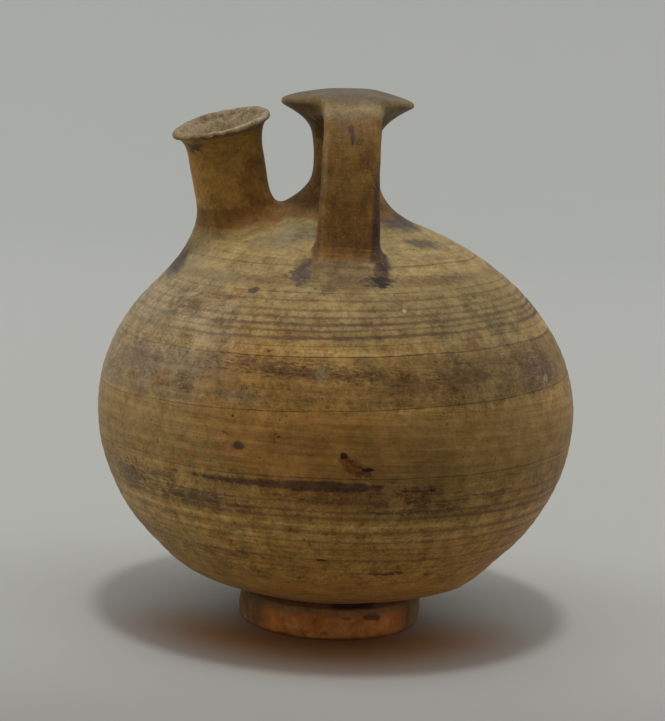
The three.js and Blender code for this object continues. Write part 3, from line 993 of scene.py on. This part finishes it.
# Paper of the floor and wall. The floor is dim in front, with painted shade close before the jar, and a
# painted shadow in the jar's warm reflected colour beside the foot.
FLOOR_NEAR = (0.3, 0.298, 0.28)
FLOOR_FAR = (0.352, 0.356, 0.337)
WALL = (0.394, 0.393, 0.37)
FLOOR_FRONT = (0.205, 0.202, 0.19)
FLOOR_PAINTED_WARM_SHADOW = (0.2, 0.082, 0.018)
ROOM_DARK = (0.26, 0.26, 0.245)

# Painted lines round the body: height, half width, strength, and rise per millimetre towards the right
LINES = (
    (98.1, 0.22, 0.6, 0.025), (94.6, 1.5, 0.3, 0.028), (91.0, 0.3, 0.5, 0.034), (89.0, 0.4, 0.5, 0.036),
    (87.5, 0.4, 0.6, 0.038), (86.0, 0.5, 0.8, 0.042), (84.7, 0.4, 0.6, 0.044), (83.2, 0.55, 0.85, 0.046),
    (92.6, 0.13, 0.7, 0.032), (81.4, 0.14, 0.6, 0.045), (79.0, 0.2, 0.95, 0.039), (66.9, 0.18, 0.85, 0.052),
    (50.8, 0.18, 0.75, 0.019), (44.7, 0.3, 0.45, 0.012), (42.3, 0.45, 0.5, 0.008), (40.6, 0.65, 0.5, 0.006),
    (36.8, 0.65, 0.42, 0.005), (34.0, 0.28, 0.42, 0.004), (32.0, 0.3, 0.3, 0.003), (30.5, 0.25, 0.28, 0.0),
    (28.7, 0.35, 0.42, 0.0), (26.0, 0.3, 0.32, 0.0), (24.5, 0.22, 0.4, 0.0), (21.2, 0.22, 0.34, 0.0),
    (17.0, 0.2, 0.25, 0.0),
)

# Pale lines left bare between painted ones
BARE_LINES = ((38.4, 0.42, 0.005), (35.0, 0.34, 0.004))


def on_body(angle, height):
    """The point of the body's surface at an angle from the camera's side, and a height."""
    up = height - BELLY_HEIGHT
    rise, power = (SHOULDER_RISE, SHOULDER_FULLNESS) if up > 0 else (UNDERSIDE_DROP, UNDERSIDE_FULLNESS)
    radius = BELLY_RADIUS * max(1 - (up / rise) ** 2, 0) ** (1 / power)
    turn = math.radians(angle)
    return radius * math.sin(turn), -radius * math.cos(turn), height


# Marks on the body: angle, height, half width, half height, colour and strength
BODY_MARKS = (
    (-22.5, 68.5, 6.5, 1.6, (0.169, 0.119, 0.069), 0.45),
    (-9.0, 70.0, 7.0, 3.2, (0.194, 0.097, 0.025), 0.55),
    (-3.5, 75.2, 1.6, 3.2, PALE_CHIP, 0.3), (-47.0, 69.5, 1.6, 3.6, (0.187, 0.094, 0.025), 0.65),
    (61.0, 72.0, 0.9, 1.1, PALE_CHIP, 0.7),
    (-23.0, 64.0, 0.35, 0.32, BLACK_PAINT, 0.8), (-12.0, 60.2, 0.4, 0.35, BLACK_PAINT, 0.7),
    (-25.3, 58.6, 1.3, 1.9, RAW_ORANGE, 0.7), (-23.6, 55.6, 2.4, 1.9, RAW_ORANGE, 0.75),
    (-21.0, 54.0, 1.9, 1.3, RAW_ORANGE, 0.6), (-21.2, 57.2, 1.3, 1.1, (0.081, 0.053, 0.031), 0.85),
    (-34.6, 55.4, 1.1, 0.8, RAW_ORANGE, 0.65), (-33.4, 54.2, 1.1, 0.9, RAW_ORANGE, 0.75),
    (-32.2, 52.8, 1.0, 0.9, RAW_ORANGE, 0.75), (-31.0, 51.4, 1.0, 0.9, RAW_ORANGE, 0.75),
    (-30.0, 50.1, 0.9, 0.8, RAW_ORANGE, 0.65),
    (2.6, 55.2, 1.3, 1.2, (0.15, 0.044, 0.012), 0.85), (3.9, 53.9, 1.7, 1.2, (0.169, 0.05, 0.012), 0.85),
    (5.5, 52.9, 2.0, 1.1, (0.175, 0.056, 0.012), 0.85), (7.0, 52.4, 1.8, 0.9, (0.125, 0.037, 0.012), 0.85),
    (2.2, 56.8, 0.8, 0.8, BLACK_PAINT, 0.9), (7.9, 53.4, 1.7, 0.5, BLACK_PAINT, 0.95),
    (3.9, 55.3, 0.6, 0.4, (0.062, 0.019, 0.009), 0.7),
    (-6.0, 60.0, 5.5, 3.5, (0.169, 0.078, 0.022), 0.35), (15.2, 44.6, 2.6, 1.9, (0.312, 0.169, 0.053), 0.9),
    (-0.3, 44.9, 0.8, 0.6, PURPLE_PAINT, 0.6), (23.0, 48.1, 0.8, 0.35, BLACK_PAINT, 0.7),
    (34.0, 44.6, 1.9, 0.9, (0.237, 0.15, 0.056), 0.5),
    (-19.0, 38.2, 1.3, 0.5, RAW_ORANGE, 0.7), (-13.0, 37.7, 1.2, 0.6, RAW_ORANGE, 0.7),
    (-2.0, 28.7, 1.1, 0.3, (0.05, 0.019, 0.012), 0.8), (-8.0, 22.5, 0.6, 0.35, PALE_CHIP, 0.6),
    (-11.5, 22.6, 0.6, 0.3, PALE_CHIP, 0.5), (19.0, 89.2, 0.6, 0.5, (0.375, 0.312, 0.225), 0.9),
    (-28.0, 92.0, 1.4, 0.75, GREY_PAINT, 0.9), (-15.0, 96.0, 2.9, 2.0, GREY_PAINT, 0.85),
    (-13.5, 98.2, 1.7, 1.3, GREY_PAINT, 0.8), (-14.0, 94.0, 0.8, 0.5, GREY_PAINT, 0.75),
    (-17.0, 79.3, 0.5, 0.25, BLACK_PAINT, 0.7), (-2.0, 70.5, 0.8, 0.5, UMBER_PAINT, 0.5),
    (165.0, 60.0, 2.0, 1.5, RAW_ORANGE, 0.5), (-140.0, 55.0, 3.0, 1.2, RAW_ORANGE, 0.5),
)

# Places where dark paint is left only as specks: angle, height, half width, half height, colour, strength
SPECKLED_MARKS = (
    (60.0, 74.5, 9.0, 3.6, (0.08, 0.045, 0.03), 0.8), (33.0, 74.8, 7.0, 2.2, (0.078, 0.055, 0.022), 0.55),
    (40.0, 77.3, 9.0, 1.3, UMBER_PAINT, 0.5),
    (-19.0, 76.2, 9.0, 1.7, UMBER_PAINT, 0.8), (-5.0, 75.2, 12.0, 1.5, UMBER_PAINT, 0.8),
    (17.0, 73.0, 11.0, 2.6, UMBER_PAINT, 0.6), (30.0, 75.3, 8.0, 1.1, UMBER_PAINT, 0.45),
    (-38.0, 70.2, 2.4, 1.5, UMBER_PAINT, 0.7), (-58.0, 73.0, 8.0, 4.0, (0.106, 0.072, 0.053), 0.6),
    (-57.0, 43.6, 7.0, 3.2, (0.087, 0.052, 0.035), 0.75),
    (-33.0, 42.4, 10.0, 1.8, (0.08, 0.054, 0.028), 0.8),
    (-44.0, 46.4, 6.0, 1.2, (0.062, 0.041, 0.025), 0.6), (8.0, 45.4, 13.0, 2.2, (0.08, 0.037, 0.018), 0.5),
    (22.0, 43.6, 8.0, 1.4, (0.072, 0.038, 0.019), 0.5), (19.0, 48.1, 4.5, 0.9, PURPLE_PAINT, 0.85),
    (40.0, 46.0, 6.0, 0.5, PURPLE_PAINT, 0.7), (30.0, 41.6, 12.0, 1.2, UMBER_PAINT, 0.35),
    (13.5, 95.2, 3.0, 1.2, BLACK_PAINT, 0.95), (8.5, 95.5, 0.9, 0.7, GREY_PAINT, 0.8),
    (-4.0, 93.6, 3.0, 0.9, (0.094, 0.056, 0.028), 0.7), (-25.0, 94.5, 9.0, 1.0, UMBER_PAINT, 0.5),
    (35.0, 95.5, 9.0, 0.8, UMBER_PAINT, 0.55), (-46.0, 87.0, 7.0, 2.0, UMBER_PAINT, 0.55),
    (-37.0, 90.0, 7.0, 0.8, UMBER_PAINT, 0.45), (17.0, 24.7, 6.0, 0.45, BLACK_PAINT, 0.75),
    (-30.0, 28.0, 10.0, 1.0, UMBER_PAINT, 0.5), (31.0, 23.5, 1.6, 0.5, BLACK_PAINT, 0.6),
    (8.0, 76.0, 1.4, 9.0, UMBER_PAINT, 0.45), (120.0, 72.0, 9.0, 3.0, PURPLE_PAINT, 0.6),
    (-110.0, 48.0, 9.0, 2.0, PURPLE_PAINT, 0.6), (95.0, 44.0, 8.0, 2.0, PURPLE_PAINT, 0.6),
    (180.0, 76.0, 16.0, 2.0, UMBER_PAINT, 0.7),
    (150.0, 46.0, 12.0, 2.0, UMBER_PAINT, 0.6), (-160.0, 73.0, 11.0, 2.4, UMBER_PAINT, 0.7),
)

# Smears on the shoulder and the handle's root, one of them a painted shade on the right shoulder: centre,
# radii, colour and strength
SHOULDER_SMEARS = (
    ((-12, -22, 105), (7, 6, 2.2), (0.131, 0.109, 0.069), 0.6),
    ((-19, -24, 102), (7, 6, 1.6), (0.144, 0.116, 0.069), 0.45),
    ((14, -9, 107), (8, 8, 1.8), (0.053, 0.039, 0.032), 0.9),
    ((24, -18, 103), (8, 5, 1.2), (0.062, 0.044, 0.034), 0.8),
    ((28, -24, 100.5), (8, 4, 0.8), (0.094, 0.059, 0.034), 0.55),
    # Painted shade on the right shoulder
    ((42, -40, 84), (24, 20, 14), (0.182, 0.134, 0.054), 0.4),
    ((-43, -5, 94.5), (4.4, 9, 4.0), (0.053, 0.041, 0.034), 0.9),
    ((-40.5, -4, 97), (3.5, 7, 3.5), (0.081, 0.05, 0.031), 0.7),
    ((9.6, -36, 97), (2.0, 7, 7), (0.031, 0.021, 0.019), 1.0),
    ((1, -37, 96.3), (9.4, 7, 4.2), (0.116, 0.068, 0.026), 0.8),
    ((1.4, -35, 99.9), (6.5, 4, 0.45), (0.237, 0.163, 0.075), 0.5),
    ((-8.0, -36, 98.0), (3.0, 5, 2.6), (0.106, 0.059, 0.025), 0.6),
)

# Dark marks on the foot: angle, height, half width, half height and strength
FOOT_MARKS = (
    (28.0, 6.0, 2.1, 0.9, 0.8), (11.3, 5.8, 1.3, 0.5, 0.55), (60.0, 3.4, 0.8, 1.8, 0.6),
    (-2.0, 1.6, 1.0, 0.5, 0.4),
)

# A painted line wider than this has a wash along it, and a mark narrower than that has a cleaner edge
FINE_LINE = 0.26
SMALL_MARK = 1.8


def off_line(paint, height, tilt, waver):
    """How far each point is above or below a line that rises towards the right."""
    return abs(paint.z - paint.x * tilt + waver - height)


def paint_lines(paint, waver, broken, uneven):
    """The painter's lines: broken dark strokes with a thinner wash along them, and bare ones between."""
    total = wash = None
    for height, half, strength, tilt in LINES:
        off = off_line(paint, height, tilt, waver) + uneven * min(half, 0.4)
        line = (1 - off.step(half * 0.35, half * 1.0)) * strength
        total = total.larger(line) if total else line
        if half > FINE_LINE:
            beside = (1 - off.step(half * 0.8, half * 2.1)) * strength
            wash = wash.larger(beside) if wash else beside
    paint.lay(wash * (0.1 + broken * 0.28), LINE_WASH)
    right = paint.angle.step(5, 40)
    paint.lay(total * (0.48 + broken * 0.52 + right * 0.2), LINE_PAINT)
    for height, half, tilt in BARE_LINES:
        off = off_line(paint, height, tilt, waver)
        paint.lay((1 - off.step(half * 0.5, half * 1.2)) * (0.95 - broken * 0.3), BARE_CLAY)


def paint_washes(paint, waver, streaks, patches, speckle):
    """The wide thin bands of brown wash, streaky and rubbed."""
    upper = paint.z - paint.x * 0.045 + waver
    wide = upper.between(67.0, 79.0, 0.15)
    right = paint.angle.step(-8, 14)
    left = 1 - paint.angle.step(-55, -15)
    # Left of the front the wash is greyer, partly painted sheen
    wash = paint.mix(right, paint.mix(left, BAND_WASH, BAND_WASH_LEFT_AND_SHEEN), BAND_WASH_RIGHT)
    paint.lay(wide * (0.34 + patches.step(0.4, 0.6) * 0.36 + right * 0.16), wash)
    dark = wide * upper.between(69.0, 78.0, 1.8) * streaks.step(0.47, 0.58)
    paint.lay(dark * speckle.step(0.38, 0.6) * 0.6, UMBER_PAINT)
    strength = 0.1 + streaks.step(0.44, 0.6) * 0.3 + right * 0.14
    paint.lay(upper.between(81.5, 92.5, 1.2) * strength, SHOULDER_WASH)
    lower = paint.z - paint.x * 0.006 + waver
    for low, high, soft, thin, added, colour in LOW_WASHES:
        paint.lay(lower.between(low, high, soft) * (thin + streaks.step(0.42, 0.6) * added), colour)


def paint_dark_band(paint, waver, ragged, speckle):
    """The strong purple-brown band that swells and ends near the middle of the near side."""
    swell = paint.angle.step(-48, -2) * (1 - paint.angle.step(5, 14))
    droop = paint.maths("MINIMUM", paint.angle, 0) * 0.022
    middle = paint.z - paint.x * 0.03 + waver * 0.6 + droop
    off = abs(middle - 48.7) + (ragged - 0.5) * (4.5 - swell * 2.7) - swell * 1.35
    front = paint.angle.between(-45, 15, 4)
    worn = 0.35 + (speckle + swell * 0.16).step(0.44, 0.6) * 0.65
    paint.lay((1 - off.step(-0.5, 0.35)) * front * worn * 0.9, PURPLE_PAINT)


def paint_marks(paint, marks, soft, ragged, small_rough, wide_rough):
    """Marks on the body, the small ones with their own raggedness."""
    for angle, height, half_width, half_height, mark, strength in marks:
        rough = small_rough if half_width < SMALL_MARK else wide_rough
        radii = (half_width, half_width, half_height)
        paint.lay(paint.spot(on_body(angle, height), radii, soft, ragged, rough) * strength, mark)


def paint_root(paint, patches, grain):
    """Brown paint round the root of the false neck, grey and dark smears on the shoulder, and a painted
    shade on its right.
    """
    ring = (paint.z + (grain - 0.5) * 0.8 + (patches - 0.5) * 1.6).step(107.0, 108.0)
    near_neck = 1 - abs(paint.x).step(24, 27)
    paint.lay(ring * near_neck * 0.8, ROOT_PAINT)
    for centre, radii, mark, strength in SHOULDER_SMEARS:
        paint.lay(paint.spot(centre, radii, 0.4, patches) * strength, mark)


def paint_posts(paint, patches, mottle):
    """The paint on the false neck, the handles, the disc and the spout, told apart by their places."""
    ragged = (mottle - 0.5) * 3.0 + (patches - 0.5) * 1.4
    wide = abs(paint.x)
    local = paint.vector("SUBTRACT", paint.place, tuple(SPOUT_FOOT))
    side, front, along = (
        Value(paint, paint.vector("DOT_PRODUCT", local, tuple(axis))) for axis in SPOUT_AXES.T)
    off_axis = paint.maths("SQRT", side * side + front * front)
    on_spout = (1 - paint.x.step(-15.5, -12.5)) * (1 - off_axis.step(15, 17))
    post = (1 - wide.step(11, 13)) * paint.z.step(108.5, 111)
    mirrored = paint.x * paint.maths("SIGN", -paint.y)
    reach = paint.z.step(102, 106) * 1.6
    strap = (mirrored + reach).step(-7.9, -7.1) * (1 - (mirrored - reach).step(9.5, 10.3))
    strap = strap * (abs(paint.y) + reach * 4).step(28, 30)
    strap = strap * (paint.z + ragged * 0.6).step(99.0, 100.4)
    paint_straps(paint, post.larger(strap) * (1 - on_spout), patches, ragged)
    paint_crown(paint, 1 - on_spout, patches, wide)
    paint_spout(paint, on_spout, along, off_axis, mottle, ragged)


def paint_straps(paint, posts, patches, ragged):
    """Red-brown paint run down the straps and the false neck, in streaks, with a painted highlight along
    the near strap's ridge.
    """
    down = paint.noise((2.2, 4, 12), 4, 0.8, 11)
    height = paint.z + (patches - 0.5) * 12
    brown = paint.mix(height.step(106, 116), STRAP_PAINT_LOW, STRAP_PAINT)
    by_neck = (1 - abs(paint.y).step(12, 20)) * paint.z.step(110, 115)
    brown = paint.mix(by_neck * 0.9, brown, NECK_PAINT)
    brown = paint.mix(down.step(0.46, 0.6) * 0.62, brown, STRAP_STREAK)
    brown = paint.mix(ragged.step(0.05, 0.7) * 0.45, brown, STRAP_STAIN)
    paint.lay(posts * 0.95, brown)
    face = (-paint.y).step(26, 28)
    right_edge = (paint.x + ragged * 0.4).between(7.0, 9.8, 0.6) * face * (1 - paint.z.step(117, 125))
    paint.lay(posts * right_edge * 0.8, STRAP_DARK_EDGE)
    left_edge = (paint.x + ragged * 0.5).between(-8.4, -6.4, 0.6) * face * (1 - paint.z.step(112, 122))
    paint.lay(posts * left_edge * 0.35, STRAP_LEFT_EDGE)
    # A painted highlight along the ridge near the strap's left edge
    ridge = (paint.x + ragged * 0.1).between(-5.6, -4.6, 0.35) * face
    paint.lay(posts * (ridge * (0.5 + down.step(0.42, 0.54) * 0.5)) * 0.6, STRAP_RIDGE_HIGHLIGHT)
    upper, lower = (paint.spot(*part, 0.3, patches, 1.5) for part in BLOT_PARTS)
    paint.lay(upper.larger(lower) * 0.9, BLOT)


def paint_crown(paint, kept, patches, wide):
    """Olive-brown under the disc, greyish on its top, and a painted highlight on the near strap's bend."""
    ragged = (patches - 0.5) * 4
    under = (paint.z + ragged).step(126.5, 129.5)
    strap = (-paint.y).step(17, 22) * (1 - wide.step(8.0, 9.6))
    paint.lay(under * (1 - strap) * kept * 0.9, DISC_UNDERSIDE)
    # Painted highlight on the near strap's bend
    paint.lay((paint.z + ragged).step(131.5, 136.0) * strap * 0.8, STRAP_BEND_HIGHLIGHT)
    crown = (paint.z + ragged * 0.4).step(137.0, 138.6) * kept
    paint.lay(crown * 0.9, DISC_CROWN)
    edge = paint.z.between(135.6, 138.4, 0.5) * kept * (1 - strap)
    paint.lay(edge * 0.35, DISC_RIM)
    paint.lay(edge * paint.noise(1.7, 4, 0.8, 14).step(0.47, 0.6) * 0.45, DISC_RIM_CHIP)


def paint_spout(paint, on_spout, along, off_axis, mottle, ragged):
    """Ochre wash on the spout, a red-brown base and a patch, and a pale lip and throat with dark specks."""
    edge = along + ragged
    tube = on_spout * edge.step(2.6, 4.0)
    paint.lay(on_spout * edge.step(-3.5, 1.5) * 0.5, SPOUT_ROOT)
    paint.lay(tube * 0.9, SPOUT_WASH)
    paint.lay(tube * (1 - edge.step(7.6, 9.2)) * 0.75, SPOUT_RING)
    outer = paint.spot((-22.6, -12, 116.0), (4.4, 9, 6.2), 0.2, mottle, 2.0)
    inner = paint.spot((-21.2, -12, 116.2), (2.9, 9, 4.4), 0.25, mottle, 2.0)
    paint.lay(tube * (outer - inner * 0.75) * 0.85, SPOUT_PATCH)
    rim = on_spout * (along + ragged * 0.4).step(26.6, 27.8)
    high = (along - 20).larger(0)
    inside = on_spout * along.step(10, 14) * (1 - (off_axis - high * high * 0.056).step(7.6, 8.1))
    paint.lay(rim * 0.85, SPOUT_RIM)
    paint.lay(inside * 0.92, SPOUT_THROAT)
    specks = (paint.noise(1.6, 4, 0.85, 10) + rim * 0.05).step(0.52, 0.6)
    paint.lay(rim.larger(inside) * specks * 0.6, SPOUT_SPECK)
    under = paint.spot((-38.5, -11, 124.2), (1.6, 4, 1.2), 0.4, mottle, 5.0)
    paint.lay(under * 0.8, GREY_PAINT)


def paint_ground(paint, clouds, patches, mottle):
    """The clay itself: ochre in patches, warm in front, with painted shade on the right of the belly, paler
    and warmer below partly as painted light, and a cream slip on the shoulder.
    """
    warm = paint.spot((-4, -60, 60), (24, 40, 17), 0.6, clouds)
    ochre = (1 - (mottle * 0.6 + patches * 0.4).step(0.42, 0.53)) * 0.85
    paint.colour = paint.mix(ochre.larger(warm * 0.85), OLIVE_CLAY, OCHRE_CLAY)
    # Painted shade on the right of the belly, in a darker olive-brown
    paint.lay(paint.spot(on_body(52, 58), (34, 34, 22), 0.5, clouds) * 0.65, PAINTED_SHADE_RIGHT)
    # Paler and warmer low on the body, more olive on the left: partly the clay's colour, partly painted
    # light on the underside
    near_side = paint.angle.step(-50, -5)
    paint.lay((1 - paint.z.step(16, 50)) * 0.85, paint.mix(near_side, LOWER_LEFT_CLAY_AND_PAINTED_LIGHT, LOWER_CLAY_AND_PAINTED_LIGHT))
    slip = (paint.z + (patches - 0.5) * 14).step(72, 98)
    paint.lay(slip * (1 - ochre * 0.45), CREAM_SLIP)


def clay_tone(paint, clouds, mottle, streaks, speckle):
    """How light the clay is: grainy, most where it is painted, streaked by the wheel, with painted shade on
    the right and painted light low on the left.
    """
    turned = 1 - paint.z.step(102, 108)
    painted = paint.z.between(20, 50, 2) + paint.z.between(66, 92, 2) + paint.z.step(90, 98) * 0.6
    tone = 1 + (mottle - 0.5) * (1.5 + painted * 1.2) + (streaks - 0.5) * turned * 1.2
    tone = tone + (speckle - 0.5) * (0.6 + painted * 0.7)
    # dim is painted shade on the right shoulder and right of the front, and lift is painted light low on
    # the left
    dim = paint.spot(on_body(42, 81), (30, 30, 12), 0.6, clouds) * 0.2
    dim = dim + paint.spot(on_body(11, 58), (12, 30, 13), 0.7, clouds) * 0.24
    lift = paint.spot(on_body(-34, 39), (40, 40, 10), 0.6, clouds) * 0.34
    return tone * (1 + lift - dim)


def clay_material(name):
    """Fired buff clay with a cream slip on the shoulder, painted, stained and rubbed, with painted shade,
    light, sheen and highlights in places.
    """
    paint = Paint(name)
    clouds, patches = paint.noise(28, 3, 0.55, 1), paint.noise(9, 4, 0.65, 2)
    mottle, speckle = paint.noise(4.5, 5, 0.85, 3), paint.noise(0.8, 3, 0.8, 4)
    streaks = paint.noise((24, 24, 1.0), 4, 0.8, 5, 0.31)
    waver = (paint.noise(24, 1, 0.5, 6) - 0.5) * 0.9
    broken = (streaks * 0.42 + speckle * 0.36 + mottle * 0.22).step(0.445, 0.54)
    paint_ground(paint, clouds, patches, mottle)
    paint_washes(paint, waver, streaks, patches, speckle)
    paint_lines(paint, waver, broken, (mottle - 0.5) * 2.6)
    # A pale veil near the left edge: dust, with painted sheen where the surface turns away
    paint.lay(paint.spot(on_body(-66, 84), (17, 30, 17), 0.7, clouds) * 0.5, GREY_DUST_AND_SHEEN)
    left = (1 - paint.angle.step(-62, -18)) * paint.z.between(24, 84, 6)
    paint.lay(left * 0.3, SALLOW_DUST_AND_SHEEN)
    paint_dark_band(paint, waver, mottle, speckle)
    paint_root(paint, patches, mottle)
    paint_posts(paint, patches, mottle)
    flaked, scattered = paint.noise(2.0, 3, 0.65, 12), paint.noise((2.2, 2.2, 0.65), 4, 0.85, 13, 0.43)
    paint_marks(paint, SPECKLED_MARKS, 0.45, scattered, 7.0, 7.0)
    paint_marks(paint, BODY_MARKS, 0.22, flaked, 2.0, 3.0)
    specks = paint.noise(0.9, 1, 0.5, 7).step(0.64, 0.72) * patches.step(0.45, 0.6)
    paint.lay(specks * 0.65, BROWN_SPECK)
    paint.lay(paint.noise(0.8, 1, 0.5, 8).step(0.68, 0.76) * 0.35, PALE_CHIP)
    paint.shade(clay_tone(paint, clouds, mottle, streaks, speckle))
    relief = mottle * 0.45 + speckle * 0.15 + paint.noise((14, 14, 0.35), 2, 0.5, 9) * 0.4
    return paint.finish(0.45 + patches * 0.2, relief, 0.11)


def foot_material(name):
    """Bare orange clay in front, brown where paint has run down or dirt has stuck."""
    paint = Paint(name)
    patches, mottle = paint.noise(7, 4, 0.6, 21), paint.noise(2.6, 5, 0.85, 22)
    ragged = (patches - 0.5) * 4 + (mottle - 0.5) * 4
    paint.colour = paint.mix(patches.step(0.42, 0.6), FOOT_RED, FOOT_ORANGE)
    front = 1 - (abs(paint.angle - 4) + ragged * 4).step(34, 58)
    paint.lay((paint.z + ragged).step(5.2, 7.4) * 0.75, FOOT_UPPER)
    paint.lay((1 - front) * 0.85, FOOT_SIDES)
    line = (paint.z + ragged * 0.3).step(7.7, 8.6)
    paint.lay(line * 0.85, FOOT_LINE)
    paint.lay(line * (paint.angle + ragged * 2).between(2, 30, 4) * 0.8, BLACK_PAINT)
    for angle, height, wide, high, strength in FOOT_MARKS:
        turn = math.radians(angle)
        centre = (24 * math.sin(turn) + FOOT_SHIFT, -24 * math.cos(turn), height)
        paint.lay(paint.spot(centre, (wide, wide, high), 0.3, mottle) * strength, FOOT_STAIN)
    heel = 1 - (paint.z + ragged * 0.2).step(0.2, 1.3)
    paint.lay(heel * 0.65, FOOT_HEEL)
    paint.shade(1 + (mottle - 0.5) * 2.0 + (patches - 0.5) * 0.5)
    return paint.finish(0.62, mottle * 0.7 + paint.noise(0.4, 2, 0.5, 23) * 0.3, 0.14)


def backdrop_material(name):
    """Matt paper, lighter where it rises behind the jar, with painted shade and a painted warm shadow on
    the floor by the jar.

    The room in front of the jar stays dim, though it looks pale from any side."""
    paint = Paint(name)
    in_front = -paint.y
    far = paint.maths("SQRT", paint.x * paint.x + paint.y * paint.y)
    paint.colour = paint.mix(far.step(120, 1100), FLOOR_NEAR, FLOOR_FAR)
    paint.lay(paint.z.step(60, 700), WALL)
    rays = paint.tree.nodes.new("ShaderNodeLightPath").outputs
    seen = Value(paint, rays["Is Camera Ray"])
    seen = seen + Value(paint, rays["Is Glossy Ray"]) + Value(paint, rays["Is Transmission Ray"])
    # Painted shade on the floor close in front of the jar; farther out the floor is dimmer only for the
    # light it bounces
    paint.lay(in_front.step(30, 110) * (1 - far.step(180, 800) * seen) * 0.9, FLOOR_FRONT)
    # A painted shadow beside the foot, warm with light reflected off the jar
    paint.lay((1 - far.step(30, 66)) * in_front.step(-14, 26) * 0.92, FLOOR_PAINTED_WARM_SHADOW)
    paint.lay(in_front.step(500, 900) * (1 - seen), ROOM_DARK)
    paint.link(paint.colour, paint.shader.inputs["Base Color"])
    paint.shader.inputs["Roughness"].default_value = 0.9
    paint.shader.inputs["Specular IOR Level"].default_value = 0.1
    return paint.material


# Soft boxes: name, shape, width, height, place and power
LAMPS = (
    ("overhead", "DISK", 0.30, 0.30, (-0.02, -0.45, 2.4), 24.0),
    ("left", "RECTANGLE", 1.0, 1.0, (-1.25, 0.15, 0.85), 7.4),
    ("right", "RECTANGLE", 1.0, 1.0, (1.25, 0.15, 0.85), 5.9),
)

# The round floor, the bend up to its wall, and the wall, in metres
FLOOR_RADIUS = 0.95
BEND_WIDTH = 0.65
BEND_TOP = 0.7
WALL_TOP = 1.6


def make_lamp(name, shape, width, height, place, power):
    light = bpy.data.lights.new(name, "AREA")
    light.shape = shape
    light.size, light.size_y = width, height
    light.energy = power
    lamp = bpy.data.objects.new(name, light)
    lamp.location = place
    lamp.rotation_euler = (Vector((0, 0, 0.05)) - lamp.location).to_track_quat("-Z", "Y").to_euler()
    bpy.context.scene.collection.objects.link(lamp)


def make_studio():
    """A round seamless floor and wall, a soft light overhead, two at the sides and pale light all round."""
    wall = FLOOR_RADIUS + BEND_WIDTH
    bend = curve([(FLOOR_RADIUS, 0), (wall, 0), (wall, BEND_TOP)], 24)
    points = spin(np.concatenate([[(0.001, 0)], bend, [(wall, WALL_TOP)]]) / MM, 96)
    rows, columns = points.shape[:2]
    floor = add_mesh("studio_floor", points.reshape(-1, 3), ring_faces(rows, columns, False).tolist())
    floor.data.shade_smooth()
    floor.data.materials.append(backdrop_material("backdrop_paper"))
    bpy.context.scene.view_settings.view_transform = "Standard"
    world = bpy.data.worlds.new("studio_air")
    bpy.context.scene.world = world
    world.use_nodes = True
    air = world.node_tree.nodes["Background"].inputs
    air["Color"].default_value = (0.98, 0.99, 1.0, 1)
    air["Strength"].default_value = 1.2
    for lamp in LAMPS:
        make_lamp(*lamp)


def make_camera():
    """The photograph's view: a long lens, a little above the jar and slightly rolled."""
    place, target = Vector((0, -0.54183, 0.15643)), Vector((0, 0, 0.062))
    focal_pixels, long_side = 2083.1, 721
    target_right, target_down = 3.84, 26.89
    roll = math.radians(2.60)
    camera = bpy.data.cameras.new("camera")
    camera.sensor_width = 36
    camera.lens = focal_pixels / long_side * camera.sensor_width
    camera.clip_start = 0.01
    seen = bpy.data.objects.new("camera", camera)
    seen.rotation_mode = "QUATERNION"
    seen.location = place
    look = (target - place).to_track_quat("-Z", "Y")
    rolled = look @ Quaternion((0, 0, 1), roll)
    raised = rolled @ Quaternion((1, 0, 0), math.atan(target_down / focal_pixels))
    seen.rotation_quaternion = raised @ Quaternion((0, 1, 0), math.atan(target_right / focal_pixels))
    bpy.context.scene.collection.objects.link(seen)
    bpy.context.scene.camera = seen


clay = clay_material("painted_clay")
bare = foot_material("bare_orange_clay")
make_body(clay)
make_foot(bare)
make_neck(clay)
make_disc(clay)
make_neck_luting(clay)
make_handle("near_handle", "front_handle", 1, clay)
make_handle("far_handle", "rear_handle", -1, clay)
make_handle_luting("near_handle_luting", "front_handle_luting", 1, clay)
make_handle_luting("far_handle_luting", "rear_handle_luting", -1, clay)
make_spout(clay)
make_spout_luting(clay)
make_studio()
make_camera()
